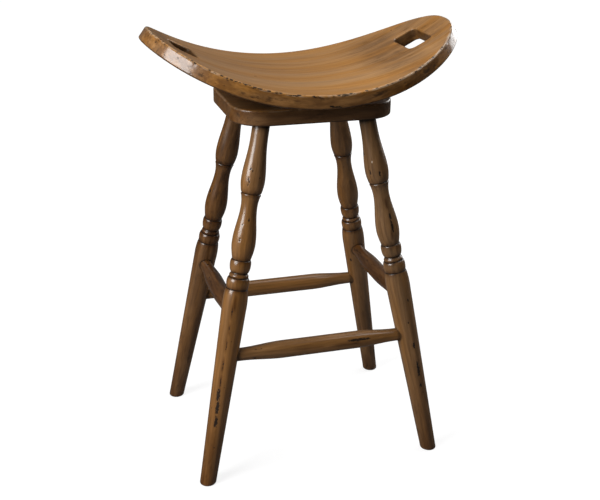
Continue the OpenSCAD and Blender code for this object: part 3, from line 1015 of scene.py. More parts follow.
@dataclass
class Legs(Turned):
    """The four turned legs and their round tenons."""

    board_height: float = 0.617
    board_top: float = 0.643
    mortise_cover: float = 0.006
    foot_spread: Pair = (0.414, 0.312)
    top_spread: Pair = (0.179, 0.165)
    tenon_radius: float = 0.011
    foot_radius: float = 0.0141
    foot_edge: float = 0.0035
    foot_flat: float = 0.004
    shoulder: Pair = (0.325, 0.0211)
    collar_groove: float = 0.3515
    collar: Pair = (0.362045, 0.0192)
    ring_groove: float = 0.37
    ring: float = 0.37296
    cup_groove: float = 0.378
    cup: Pair = (0.39252, 0.0177)
    swell_groove: float = 0.4
    lower_swell: float = 0.428
    waist: float = 0.4905
    upper_swell: float = 0.5335
    swell_radius: float = 0.0198
    waist_radius: float = 0.0137
    neck_radius: float = 0.0142
    score: Triple = (0.512, 0.0013, 0.0013)
    bead: Triple = (0.5094, 0.0016, 0.01675)
    chamfer: float = 0.001
    unevenness: float = 0.012
    shear_length: float = 0.05
    dark_foot: float = 0.2
    joint_line: float = 0.0018
    joint_overlap: float = 0.004
    rim_width: float = 0.0013
    tone_height: float = 0.35
    marked: Pair = (0.05, 0.58)
    mark_count: int = 5
    lift_span: tuple[float, float, float, float] = (0.3, 0.38, 0.54, 0.6)
    # darker stain and painted shade on the back legs
    tones: dict[Corner, float] = field(
        default_factory=lambda: {Corner.BACK_LEFT: 0.72, Corner.BACK_RIGHT: 0.3})
    lift: dict[Corner, float] = field(default_factory=lambda: dict(
        zip(Corner, (0.004, 0.005, -0.0015, -0.001))))
    long_step: float = 0.0025
    marks: dict[Corner, list[Mark]] = field(default_factory=dict)

    @property
    def slope(self) -> Array:
        """How far a leg's axis moves outwards, along X and Y, for each metre down."""
        return (np.array(self.foot_spread) - np.array(self.top_spread)) / 2 / self.board_height

    @property
    def stretch(self) -> float:
        """Length along a leg for each metre of height."""
        return math.sqrt(1 + float(self.slope @ self.slope))

    @property
    def top(self) -> float:
        """Where the leg's square end touches the board, as a distance along its axis."""
        return self.below(self.board_height, self.neck_radius)

    def below(self, height: float, radius: float) -> float:
        """Where along a leg a square end of a radius just reaches a height."""
        return height * self.stretch - radius * math.tan(math.acos(1 / self.stretch))

    def axis(self, corner: Corner) -> tuple[Array, Array]:
        """Finds a leg's axis.

        Args:
            corner: which leg it is.

        Returns:
            Its foot on the floor and its direction, upwards.
        """
        sign = np.array(corner.value, float)
        foot = np.array([*(sign * np.array(self.foot_spread) / 2), 0])
        return foot, np.array([*(-sign * self.slope), 1]) / self.stretch

    def frame(self, corner: Corner) -> Array:
        """Finds a leg's own axes.

        Args:
            corner: which leg it is.

        Returns:
            Its front, its right and upwards along the leg, as columns.
        """
        _, up = self.axis(corner)
        front = np.array([0, -1, 0]) - up * (-up[1])
        front /= np.linalg.norm(front)
        return np.column_stack([front, np.cross(up, front), up])

    def profile(self) -> tuple[list[Pair], Array]:
        """Draws a leg's half outline.

        Returns:
            Its points as (radius, distance along), and how deep in a groove each lies, with the
            painted shadow line under the board counted as a groove.
        """
        peak, radius = self.shoulder
        edge, foot, top, waist = self.foot_edge, self.foot_radius, self.top, self.waist_radius
        tenon = self.below(self.board_top - self.mortise_cover, self.tenon_radius)
        sole = [(0.0, 0.0), (foot - edge - self.foot_flat, 0.0)]
        sole += [(foot - edge + edge * math.sin(a), edge - edge * math.cos(a))
                 for a in np.linspace(0, math.pi / 2, 7)]
        body = self.outline((edge + self.foot_flat, foot), [
            (peak - 0.009, radius - 0.0003, Curve.STRAIGHT),
            (peak, radius, Curve.FLAT_END),
            (self.collar_groove, 0.0177, Curve.ROUND_IN),
            (*self.collar, Curve.ROUND_OUT),
            (self.ring_groove, waist + 0.002, Curve.ROUND_IN),
            (self.ring, waist + 0.0027, Curve.ROUND_OUT),
            (self.cup_groove, waist, Curve.WAVE),
            (*self.cup, Curve.ROUND_OUT),
            (self.swell_groove, 0.0154, Curve.ROUND_IN),
            (self.lower_swell, self.swell_radius, Curve.FLAT_END),
            (self.waist, waist, Curve.WAVE),
            (self.upper_swell, self.swell_radius, Curve.WAVE),
            (top - self.chamfer, self.neck_radius, Curve.NECK),
        ])
        end = [(self.neck_radius - self.chamfer, top), (self.tenon_radius, top),
               (self.tenon_radius, tenon - self.chamfer),
               (self.tenon_radius - self.chamfer, tenon), (0.0, tenon)]
        outline = sole + [(self._scored(r, s), s) for r, s in body] + end
        return outline, self.in_grooves(np.array([s for _, s in outline]), [
            (self.collar_groove, 0.0011), (self.ring_groove, 0.0009), (self.cup_groove, 0.0016),
            # painted shadow: the groove at top - 0.001 is the dark line under the board
            (self.swell_groove, 0.0011), (self.score[0], 0.0009), (top - 0.001, 0.0045),
            (tenon, 0.02)])

    def _scored(self, radius: float, along: float) -> float:
        """Adds the small bead and the score line beside it to the outline.

        Args:
            radius: the outline's radius at a place.
            along: the place.

        Returns:
            The radius with the bead and the line.
        """
        place, depth, half_width = self.score
        bead_place, bead_radius, bead_top = self.bead
        if abs(along - bead_place) < bead_radius:
            radius = max(radius, bead_top - bead_radius
                         + math.sqrt(bead_radius ** 2 - (along - bead_place) ** 2))
        if abs(along - place) < half_width:
            radius = min(radius, bead_top - depth + depth * abs(along - place) / half_width)
        return radius

    def build(self, joints: list[Joint]) -> None:
        """Makes the four legs.

        Args:
            joints: each stretcher's middle, direction, reach and end radius, for the dark
                line round it.
        """
        outline, dark = self.profile()
        for number, corner in enumerate(Corner):
            mesh = self.lathe.turn(outline, dark, self.dress.material, self.facets,
                                   self.unevenness, number)
            scattered = self.random_marks(40 + number, *self.marked, self.mark_count)
            local = positions(mesh)
            # painted highlight: the pale ring at the foot's rounded edge is partly wear, partly a
            # glint
            rim = bell(local[:, 2], self.foot_edge, self.rim_width)
            near_floor = np.clip(1 - local[:, 2] / self.dark_foot, 0, 1)
            halo = self.in_grooves(local[:, 2], [
                (self.collar_groove + 0.0005, 0.005), (self.ring_groove, 0.004),
                (self.cup_groove, 0.004), (self.swell_groove, 0.006), (self.score[0], 0.006),
                # painted shade: this last halo darkens each leg's top under the board
                (self.top, 0.008)])
            local[:, 2] += self.lift[corner] * np.interp(local[:, 2], self.lift_span, (0, 1, 1, 0))
            local, weight, stain = self.dent(local, self.marks.get(corner, []) + scattered)
            placed = self._stood(local, corner)
            set_positions(mesh, placed)
            groove = stored(mesh, GROOVE)
            for joint in joints:
                groove = np.maximum(groove, self._joint_glaze(placed, joint))
            stain = np.maximum(np.maximum(stain, 0.9 * near_floor), 0.8 * halo)
            # painted shade: each piece's darker tone, fading towards the foot
            tone = self.tones.get(corner, 0.0) * np.clip(local[:, 2] / self.tone_height, 0.1, 1)
            self.finished(corner.title, f"leg_{corner.title}", mesh,
                          (1.7 * number, 0.021 + 0.013 * number, 0.03 - 0.011 * number),
                          {GROOVE: groove, EDGE: rim, SHADE: tone + stain, MARK: weight})

    def _stood(self, local: Array, corner: Corner) -> Array:
        """Stands a leg on the floor, with its sole level and the rest square to its axis.

        Args:
            local: its points as they came off the lathe.
            corner: which leg it is.

        Returns:
            The points in place.
        """
        frame = self.frame(corner)
        drop = (local[:, :2] @ frame[2, :2]) / frame[2, 2]
        fade = 1 - np.clip((local[:, 2] - self.foot_edge) / self.shear_length, 0, 1)
        local[:, 2] -= drop * fade * fade * (3 - 2 * fade)
        return local @ frame.T + self.axis(corner)[0]

    def _joint_glaze(self, placed: Array, joint: Joint) -> Array:
        """How much of the dark line round a stretcher's joint each point holds.

        Args:
            placed: a leg's points.
            joint: the stretcher's middle, direction, reach and end radius.

        Returns:
            Numbers from 0 to 0.9.
        """
        middle, along, reach, radius = joint
        off = placed - middle
        away = np.linalg.norm(off - np.outer(off @ along, along), axis=1)
        facing = (away > radius - self.joint_overlap) & (np.abs(off @ along) < reach)
        return 0.9 * bell(away, radius, self.joint_line) * facing


@dataclass
class Stretchers(Turned):
    """The four stretchers that join the legs."""

    legs: Legs | None = None
    footrest_height: float = 0.228
    side_drop: float = 0.019
    middle_radius: float = 0.0153
    end_radius: float = 0.0112
    taper: float = 0.076
    neck: float = 0.002
    reach: float = 0.004
    chamfer: float = 0.0008
    joint_depth: float = 0.0185
    joint_line: float = 0.0028
    joint_glaze: float = 0.75
    mark_count: int = 4
    unevenness: float = 0.014
    # darker stain and painted shade on the side stretchers
    tones: dict[str, float] = field(
        default_factory=lambda: {"stretcher_left": 1.1, "stretcher_right": 1.15})
    facets: int = 72
    step: float = 0.003
    marks: dict[str, list[Mark]] = field(default_factory=dict)

    def places(self) -> dict[str, tuple[Array, Array, float]]:
        """Works out where the stretchers run.

        Returns:
            Each one's middle, direction and half the distance between its legs' axes.
        """
        legs = self.legs
        half = np.array(legs.foot_spread) / 2
        low, high = self.footrest_height, (legs.shoulder[0] - self.side_drop) / legs.stretch
        (x_low, y_low), (x_high, y_high) = half - legs.slope * low, half - legs.slope * high
        across, deep = np.array([1.0, 0, 0]), np.array([0, 1.0, 0])
        return {
            "stretcher_front": (np.array([0, -y_low, low]), across, x_low),
            "stretcher_back": (np.array([0, y_low, low]), across, x_low),
            "stretcher_left": (np.array([-x_high, 0, high]), deep, y_high),
            "stretcher_right": (np.array([x_high, 0, high]), deep, y_high),
        }

    def joints(self) -> list[Joint]:
        """Each stretcher's middle, direction, distance to the legs' axes and end radius."""
        return [(*place, self.end_radius) for place in self.places().values()]

    def build(self) -> None:
        """Makes the four stretchers."""
        for number, (name, (middle, along, half)) in enumerate(self.places().items()):
            begin, tip = half - self.legs.shoulder[1] - self.neck, half + self.reach
            cap = [(0.0, -tip), (self.end_radius - self.chamfer, -tip)]
            outline = cap + self.outline((self.chamfer - tip, self.end_radius), [
                (-begin, self.end_radius, Curve.STRAIGHT),
                (self.taper - begin, self.middle_radius, Curve.WAVE),
                (begin - self.taper, self.middle_radius, Curve.STRAIGHT),
                (begin, self.end_radius, Curve.WAVE),
                (tip - self.chamfer, self.end_radius, Curve.STRAIGHT),
            ]) + [(r, -s) for r, s in cap[::-1]]
            joint = half - self.joint_depth
            dark = self.in_grooves(np.array([s for _, s in outline]), [
                (-joint, self.joint_line), (joint, self.joint_line)])
            mesh = self.lathe.turn(outline, dark * self.joint_glaze, self.dress.material,
                                   self.facets, self.unevenness, 10 + number)
            scattered = self.random_marks(60 + number, -begin, begin, self.mark_count)
            local, weight, stain = self.dent(positions(mesh),
                                             self.marks.get(name, []) + scattered)
            back = -np.cross((0, 0, 1.0), along)
            frame = np.column_stack([back, np.cross(along, back), along])
            set_positions(mesh, local @ frame.T + middle)
            self.finished(name, name, mesh, (9 + 1.3 * number, 0.015 * number - 0.03, 0.025),
                          {SHADE: stain + self.tones.get(name, 0.0), MARK: weight})


@dataclass
class Slab:
    """A board of even thickness with rounded edges and openings, meshed flat."""

    thickness: float
    edge_radius: float
    spacing: float = 0.0042
    rim_step: float = 0.0026
    wall_step: float = 0.0028
    # glaze on the openings' walls, as painted shade inside them
    wall_glaze: float = 0.5
    margin: float = 0.0022
    worn_wall: float = 0.003
    hole_step: float = 0.8
    hole_edge: float = 0.85
    hole_nick: float = 0.4
    wear_centre: float = 0.3
    wear_reach: float = 0.004

    @staticmethod
    def even(loop: Array, step: float) -> Array:
        """Spaces the points of a closed loop evenly.

        Args:
            loop: its points.
            step: about how far apart the new ones are.

        Returns:
            The new points.
        """
        closed = np.vstack([loop, loop[:1]])
        run = np.concatenate([[0], np.cumsum(np.linalg.norm(np.diff(closed, axis=0), axis=1))])
        count = max(12, round(run[-1] / step))
        at = np.linspace(0, run[-1], count, endpoint=False)
        return np.column_stack([np.interp(at, run, closed[:, k]) for k in (0, 1)])

    @staticmethod
    def normals(loop: Array) -> Array:
        """Finds the directions across a closed loop.

        Args:
            loop: its points.

        Returns:
            For each point the direction to the left, so inwards on an anticlockwise loop.
        """
        run = np.roll(loop, -1, axis=0) - np.roll(loop, 1, axis=0)
        run /= np.linalg.norm(run, axis=1)[:, None]
        return np.column_stack([-run[:, 1], run[:, 0]])

    def section(self, radius: float) -> list[tuple[float, float, Triple]]:
        """Rings of an edge, from the top face over the edge and down the wall to the underside.

        Args:
            radius: the edge's rounding.

        Returns:
            Each ring's inset and depth, and how much it belongs to the worn top edge, which is
            partly a painted glint, to the dark sides, a darker stain that is partly painted shade,
            and to the dark line along the lower edge, which is painted shade laid in as glaze.
        """
        arc = np.linspace(0, math.pi / 2, 6)
        count = max(3, round((self.thickness - 2 * radius) / self.wall_step)) + 1
        depths = np.linspace(radius, self.thickness - radius, count)[1:-1]
        rings = [(radius + self.margin, 0.0, (0.2, 0.0, 0.0))]
        rings += [(radius - radius * math.sin(a), radius - radius * math.cos(a),
                   (1.0, 1 - math.cos(a), 0.0)) for a in arc]
        rings += [(0.0, float(d), (max(0.0, 1 - (d - radius) / self.worn_wall), 1.0, 0.0))
                  for d in depths]
        # painted shade: the lower rounding gets glaze where it faces down into shade
        rings += [(radius - radius * math.cos(a), self.thickness - radius + radius * math.sin(a),
                   (0.0, 1.0, 0.75 * math.sin(a) ** 0.5)) for a in arc]
        rings += [(radius + self.margin, self.thickness, (0.0, 1.0, 0.1))]
        return rings

    def build(self, outline: Array, holes: list[tuple[Array, float]], nick: float, seed: int
              ) -> tuple[Array, Faces, Array]:
        """Meshes the flat slab.

        Args:
            outline: its outline, anticlockwise.
            holes: each opening's outline, anticlockwise, and the rounding of its edge.
            nick: depth of the nicks along the outline's top edge.
            seed: picks the nicks.

        Returns:
            Points as (x, y, depth below the top face), faces, and how much each point belongs
            to the worn top edge with its painted glint, to the dark sides with their painted shade
            and to the lower edge's line of painted shade.
        """
        loops = [(self.even(outline, self.rim_step), self.edge_radius, 1.0, nick)]
        loops += [(self.even(hole, self.rim_step * self.hole_step)[::-1], radius, self.hole_edge,
                   nick * self.hole_nick) for hole, radius in holes]
        points, kinds, faces, tops, bottoms = [], [], [], [], []
        for number, (loop, radius, share, depth) in enumerate(loops):
            inwards, rings = self.normals(loop), self.section(radius)
            worn = self._wear(lifted(loop, 0.0), depth, seed + number)
            first = sum(len(p) for p in points)
            for inset, down, kind in rings:
                near_edge = 0.0
                if down < self.thickness / 2 and inset <= radius:
                    off = (down - radius * self.wear_centre) / self.wear_reach
                    near_edge = math.exp(-off ** 2)
                ring = loop + inwards * (inset + worn * near_edge)[:, None]
                points.append(lifted(ring, down))
                # painted shade: the walls of the openings get glaze for the shade inside them
                glaze = max(kind[2], self.wall_glaze * kind[1]) if number else kind[2]
                kinds.append(np.tile((kind[0] * share, kind[1], glaze), (len(ring), 1)))
            size = len(loop)
            for k in range(len(rings) - 1):
                a, b = first + k * size, first + (k + 1) * size
                faces += [(a + j, a + (j + 1) % size, b + (j + 1) % size, b + j)
                          for j in range(size)]
            tops.append(np.arange(first, first + size))
            bottoms.append(tops[-1] + (len(rings) - 1) * size)
        points, kinds = np.vstack(points), np.vstack(kinds)
        for rims, depth, side in ((tops, 0.0, 0.0), (bottoms, self.thickness, 1.0)):
            inner = self._inner_points([points[rim, :2] for rim in rims])
            start = len(points)
            points = np.vstack([points, lifted(inner, depth)])
            kinds = np.vstack([kinds, np.tile((0.0, side, 0.0), (len(inner), 1))])
            faces += self._fill(points, rims, np.arange(start, len(points)))
        return points, faces, kinds

    @staticmethod
    def _wear(flat: Array, depth: float, seed: int) -> Array:
        """How far each point of an edge is worn back, with short nicks here and there."""
        slow, quick = smooth_bumps(flat, seed, 0.05), smooth_bumps(flat, seed + 50, 0.009)
        return depth * (0.18 * (1 + slow) * 0.5 + np.clip(slow * 0.6 + quick - 1.0, 0, 1.2))

    def _inner_points(self, rims: list[Array]) -> Array:
        """Spaces points evenly between rims.

        Args:
            rims: the outer rim and those of the openings.

        Returns:
            The points, clear of the rims.
        """
        low, high = rims[0].min(0), rims[0].max(0)
        rows = []
        for k, y in enumerate(np.arange(low[1], high[1], self.spacing * math.sqrt(3) / 2)):
            xs = np.arange(low[0] + (k % 2) * self.spacing / 2, high[0], self.spacing)
            rows.append(lifted(xs, y))
        grid = np.vstack(rows)
        grid = grid[between(grid, rims)]
        border = np.vstack(rims)
        near = np.array([np.min(np.sum((border - p) ** 2, axis=1)) for p in grid])
        return grid[near > (self.spacing * 0.55) ** 2]

    @staticmethod
    def _fill(points: Array, rims: list[Array], inner: Array) -> Faces:
        """Fills one face with triangles.

        Args:
            points: the slab's points.
            rims: the outer rim and those of the openings, as indices of points.
            inner: the points between them, as indices.

        Returns:
            The triangles.
        """
        index = np.concatenate([*rims, inner])
        edges, first = [], 0
        for rim in rims:
            edges += [(first + k, first + (k + 1) % len(rim)) for k in range(len(rim))]
            first += len(rim)
        made = delaunay_2d_cdt([Vector(points[k, :2]) for k in index], edges, [], 0, 1e-9)
        places, triangles, origin = np.array([tuple(v) for v in made[0]]), made[2], made[3]
        centres = np.array([places[list(t)].mean(0) for t in triangles])
        keep = between(centres, [points[rim, :2] for rim in rims])
        return [tuple(int(index[origin[v][0]]) for v in t) for t, k in zip(triangles, keep) if k]


def inside(points: Array, loop: Array) -> Array:
    """Which points lie inside a closed loop.

    Args:
        points: points in a plane.
        loop: the loop's points.

    Returns:
        A truth value for each point.
    """
    x, y = points[:, 0], points[:, 1]
    result = np.zeros(len(points), bool)
    for (x1, y1), (x2, y2) in zip(loop, np.roll(loop, -1, axis=0)):
        if y1 != y2:
            result ^= ((y1 > y) != (y2 > y)) & (x < (x2 - x1) * (y - y1) / (y2 - y1) + x1)
    return result


def between(points: Array, rims: list[Array]) -> Array:
    """Which points lie inside the first closed loop and outside the others.

    Args:
        points: points in a plane.
        rims: the loops.

    Returns:
        A truth value for each point.
    """
    keep = inside(points, rims[0])
    for rim in rims[1:]:
        keep &= ~inside(points, rim)
    return keep


def rounded_rectangle(length: float, width: float, radius: float) -> Array:
    """Draws a rectangle with round corners about the origin.

    Args:
        length: its size along X.
        width: its size along Y.
        radius: its corners' radius.

    Returns:
        Its points, anticlockwise.
    """
    arc = np.linspace(0, math.pi / 2, 24)
    corners = []
    for sx, sy, turn in ((1, 1, 0), (-1, 1, 90), (-1, -1, 180), (1, -1, 270)):
        centre = np.array([sx * (length / 2 - radius), sy * (width / 2 - radius)])
        at = arc + math.radians(turn)
        corners.append(centre + radius * np.column_stack([np.cos(at), np.sin(at)]))
    return np.vstack(corners)


def stronger(weight: Array, near: Array, strength: float) -> Array:
    """The marks so far, or a new mark where it is the stronger one."""
    return np.where(near * abs(strength) > np.abs(weight), near * strength, weight)


def spot_weights(at: Array, spots: list[Spot]) -> tuple[Array, Array, Array]:
    """Finds what the spots do to each point.

    Args:
        at: the points.
        spots: the spots.

    Returns:
        How much each point belongs to a spot, how much to a soft darker patch, and how deep it is
        pressed in.
    """
    weight, stain, depth = np.zeros(len(at)), np.zeros(len(at)), np.zeros(len(at))
    for spot in spots:
        off = (at - np.array(spot.at)) / np.array(spot.reach)
        near = np.exp(-np.sum(off ** 2, axis=1) ** 1.5)
        if spot.soft:
            stain = np.maximum(stain, near * spot.strength)
            continue
        weight = stronger(weight, near, spot.strength)
        depth = np.maximum(depth, near * spot.depth)
    return weight, stain, depth


@dataclass
class Seat:
    """The bowed oval seat with a hand hole near each end."""

    finish: WoodFinish
    length: float = 0.5096
    width: float = 0.3398
    thickness: float = 0.0225
    bend_radius: float = 0.429
    bend_height: float = 1.105
    fullness: float = 2.2
    edge_radius: float = 0.003
    hole_reach: float = 0.206
    hole_size: Triple = (0.043, 0.082, 0.009)
    hole_edge: float = 0.0028
    hole_zone: Pair = (0.03, 0.05)
    nick: float = 0.0007
    pocket_side: float = 0.142
    pocket_corner: float = 0.017
    pocket_level: float = 0.659
    pocket_depth: float = 0.02

    def front_edge(self, along: float) -> float:
        """How far forward, as a negative number, the outline lies at a place along the slab."""
        share = abs(self.bend_radius * math.sin(along / self.bend_radius)) / (self.length / 2)
        return -self.width / 2 * max(0.0, 1 - share ** self.fullness) ** (1 / self.fullness)

    def spots(self) -> list[Spot]:
        """The seat's pits, nicks and soft darker patches, about where the photographed one has
        them.

        Returns:
            Spots as (along, across, depth) on the unbent slab.
        """
        pits = ((0.228, -0.0806, 0.0), (0.2114, -0.1098, 0.0006), (0.2026, 0.0909, 0.0),
                (-0.0299, -0.1693, 0.0127), (-0.1607, -0.1403, 0.0153))
        scratch = ((-0.0019, 0.0163), (0.0012, 0.0181), (0.0059, 0.0184), (0.0106, 0.0188),
                   (0.0137, 0.0191))
        scuffs = ((-0.086, -0.1629, 0.0108), (-0.0768, -0.1644, 0.0123), (-0.068, -0.1658, 0.011))
        edge_ticks = (-0.212, -0.186, -0.168, -0.161, -0.154, -0.148, -0.141, -0.133, -0.127,
                      -0.119, -0.111, -0.098, -0.08, -0.052, -0.03, 0.012, 0.031, 0.058, 0.075,
                      0.094, 0.118, 0.16, 0.19)
        small = (0.006, 0.006, 0.004)
        # soft darker patches: small ones on the rim, broad ones over the right slope and both ends,
        # thin ones along the grain
        soft_patches = (((0.1485, -0.1454, 0.009), small, 0.9), ((0.172, -0.1348, 0.0207), small, 0.9),
                  ((0.136, -0.1499, 0.0096), small, 0.9),
                  ((0.165, -0.022, 0.0), (0.014, 0.034, 0.01), 0.8),
                  ((0.16, -0.01, 0.0), (0.06, 0.16, 0.012), 0.72),
                  ((0.235, 0.0, 0.0), (0.05, 0.16, 0.012), 0.6),
                  ((-0.24, 0.0, 0.0), (0.03, 0.16, 0.012), 0.4),
                  ((-0.10, 0.02, 0.0), (0.10, 0.005, 0.01), 0.25),
                  ((0.05, 0.035, 0.0), (0.11, 0.004, 0.01), 0.22),
                  ((-0.04, 0.06, 0.0), (0.09, 0.012, 0.01), 0.2),
                  ((0.03, -0.08, 0.0), (0.12, 0.010, 0.01), 0.2))
        made = [Spot(at, (0.0024, 0.0028, 0.0017)) for at in pits]
        made += [Spot((x, -0.17, z), (0.0034, 0.004, 0.0022), 0.0002, 0.95) for x, z in scratch]
        made += [Spot(at, (0.006, 0.004, 0.0026), strength=0.66) for at in scuffs]
        rng = np.random.default_rng(17)
        for along in edge_ticks:
            inwards = rng.uniform(0.0, 0.0035)
            made.append(Spot((along, self.front_edge(along) + inwards, 0.0005),
                             (rng.uniform(0.003, 0.005), 0.003, 0.0026), 0.0004,
                             rng.uniform(0.84, 1.16)))
        made += [Spot(at, reach, strength=strength, soft=True) for at, reach, strength in soft_patches]
        return made

    def outline(self) -> Array:
        """Draws the seat's outline on its unbent top face.

        Returns:
            Its points, anticlockwise.
        """
        turn = np.linspace(0, math.tau, 1440, endpoint=False)
        power = 2 / self.fullness
        x, y = (size / 2 * np.sign(share) * np.abs(share) ** power
                for size, share in ((self.length, np.cos(turn)), (self.width, np.sin(turn))))
        return np.column_stack([self.bend_radius * np.arcsin(x / self.bend_radius), y])

    def bend(self, flat: Array) -> Array:
        """Bends points of the flat slab into place.

        Args:
            flat: the points, as (along, across, depth).

        Returns:
            The points in place.
        """
        angle, radius = flat[:, 0] / self.bend_radius, self.bend_radius + flat[:, 2]
        return np.column_stack([radius * np.sin(angle), flat[:, 1],
                                self.bend_height - radius * np.cos(angle)])

    def unbend(self, placed: Array) -> Array:
        """Finds the place on the flat slab of points that are in place.

        Args:
            placed: the points in place.

        Returns:
            The points as (along, across, depth).
        """
        drop = self.bend_height - placed[:, 2]
        return np.column_stack([self.bend_radius * np.arctan2(placed[:, 0], drop), placed[:, 1],
                                np.hypot(placed[:, 0], drop) - self.bend_radius])

    def pocket(self) -> Mesh:
        """Makes the block of wood that is routed out for the swivel's upper plate.

        Returns:
            Its mesh.
        """
        loop = rounded_rectangle(self.pocket_side, self.pocket_side, self.pocket_corner)[::2]
        return prism(lifted(loop, self.pocket_level - self.pocket_depth),
                     lifted(loop, self.pocket_level))

    def build(self) -> None:
        """Makes the seat."""
        length, width, corner = self.hole_size
        holes = [(rounded_rectangle(length, width, corner) + np.array([side * self.hole_reach, 0]),
                  self.hole_edge) for side in (-1, 1)]
        slab = Slab(self.thickness, self.edge_radius)
        flat, faces, kinds = slab.build(self.outline(), holes, self.nick, 3)
        weight, stain, depth = spot_weights(flat, self.spots())
        placed = self.bend(self._straighten_holes(flat))
        mesh = mesh_of(placed, faces, merge=False)
        normals = np.array([v.normal for v in mesh.vertices])
        set_positions(mesh, placed - normals * depth[:, None])
        # the shade attribute darkens the rim and underside, partly as painted shade
        store(mesh, {EDGE: kinds[:, 0], SHADE: np.maximum(kinds[:, 1], stain),
                     GROOVE: kinds[:, 2], MARK: weight})
        mesh = cut(mesh, self.pocket())
        store(mesh, {GRAIN: self.unbend(positions(mesh)) + np.array([0, 0.5, 0.04])})
        new_piece("bowed_seat", mesh, self.finish.build(), "seat", "seat")

    def _straighten_holes(self, flat: Array) -> Array:
        """Narrows the hand holes with depth, so that the bend leaves their walls parallel.

        Args:
            flat: the flat slab's points.

        Returns:
            The points, moved near the holes.
        """
        out = flat.copy()
        for side in (-1, 1):
            off = flat[:, 0] - side * self.hole_reach
            near = (np.abs(off) < self.hole_zone[0]) & (np.abs(flat[:, 1]) < self.hole_zone[1])
            shrink = self.bend_radius / (self.bend_radius + flat[near, 2])
            out[near, 0] = side * self.hole_reach + off[near] * shrink
        return out


@dataclass
class BaseBoard:
    """The board that carries the swivel and holds the legs."""

    finish: WoodFinish
    legs: Legs
    length: float = 0.274
    width: float = 0.225
    thickness: float = 0.026
    corner: float = 0.054
    edge_radius: float = 0.003
    access_place: float = 0.082024
    access_radius: float = 0.008
    access_edge: float = 0.0006
    nick: float = 0.0004
    glue: float = 0.0001
    cut_below: float = 0.03
    cut_short: float = 0.0015
    # how dark the board's sides and underside are, a darker stain that is partly painted shade from
    # the seat
    tone: float = 0.74
    # painted shadow: reach and strength of the glaze on the board's top under the seat
    hidden_reach: Pair = (0.122, 0.111)
    hidden_glaze: float = 0.75
    spots: list[Spot] = field(default_factory=list)

    def build(self) -> None:
        """Makes the board, with an opening for the seat's screws and a mortise for each leg."""
        legs = self.legs
        turn = np.linspace(0, math.tau, 72, endpoint=False)
        access = (self.access_radius * np.column_stack([np.cos(turn), np.sin(turn)])
                  + np.array([self.access_place, 0]))
        flat, faces, kinds = Slab(self.thickness, self.edge_radius).build(
            rounded_rectangle(self.length, self.width, self.corner),
            [(access, self.access_edge)], self.nick, 21)
        placed = np.column_stack([flat[:, :2], legs.board_top - flat[:, 2]])
        weight, stain, _ = spot_weights(placed, self.spots)
        mesh = mesh_of(placed, faces, merge=False)
        # painted shadow: glaze on the board's top under the seat, where the seat's shadow falls
        spread = np.abs(flat[:, :2]) / np.array(self.hidden_reach)
        under_seat_shadow = (np.exp(-spread[:, 0] ** 6 - spread[:, 1] ** 10)
                  * (flat[:, 2] < self.thickness / 2))
        store(mesh, {EDGE: 0.88 * kinds[:, 0], SHADE: np.maximum(self.tone * kinds[:, 1], stain),
                     GROOVE: np.maximum(kinds[:, 2], self.hidden_glaze * under_seat_shadow), MARK: weight})
        for corner in Corner:
            foot, up = legs.axis(corner)
            end = (legs.board_top - legs.mortise_cover) * legs.stretch - self.cut_short
            mesh = cut(mesh, rod(foot + up * (legs.top - self.cut_below), foot + up * end,
                                 legs.tenon_radius + self.glue))
        store(mesh, {GRAIN: positions(mesh) + np.array([4, 0.9, 0.05 - legs.board_top])})
        new_piece("swivel_board", mesh, self.finish.build(), "base", "base_board")


def outwards(azimuth: float, elevation: float) -> Vector:
    """The direction of a lamp or a camera, seen from the stool, from its angles in degrees."""
    a, e = math.radians(azimuth), math.radians(elevation)
    return Vector((math.sin(a) * math.cos(e), -math.cos(a) * math.cos(e), math.sin(e)))


@dataclass(frozen=True)
class Lamp:
    """A soft panel of light that faces a point of the stool."""

    name: str
    azimuth: float
    elevation: float
    distance: float
    size: Pair
    power: float
    aim: Triple = (0.0, 0.0, 0.5)

    def build(self) -> None:
        """Hangs the lamp."""
        away = outwards(self.azimuth, self.elevation)
        light = bpy.data.lights.new(self.name, "AREA")
        light.shape, light.energy = "RECTANGLE", self.power
        light.size, light.size_y = self.size
        lamp = added(self.name, light)
        lamp.location = Vector(self.aim) + away * self.distance
        lamp.rotation_euler = (-away).to_track_quat("-Z", "Y").to_euler()
        lamp.visible_camera = False


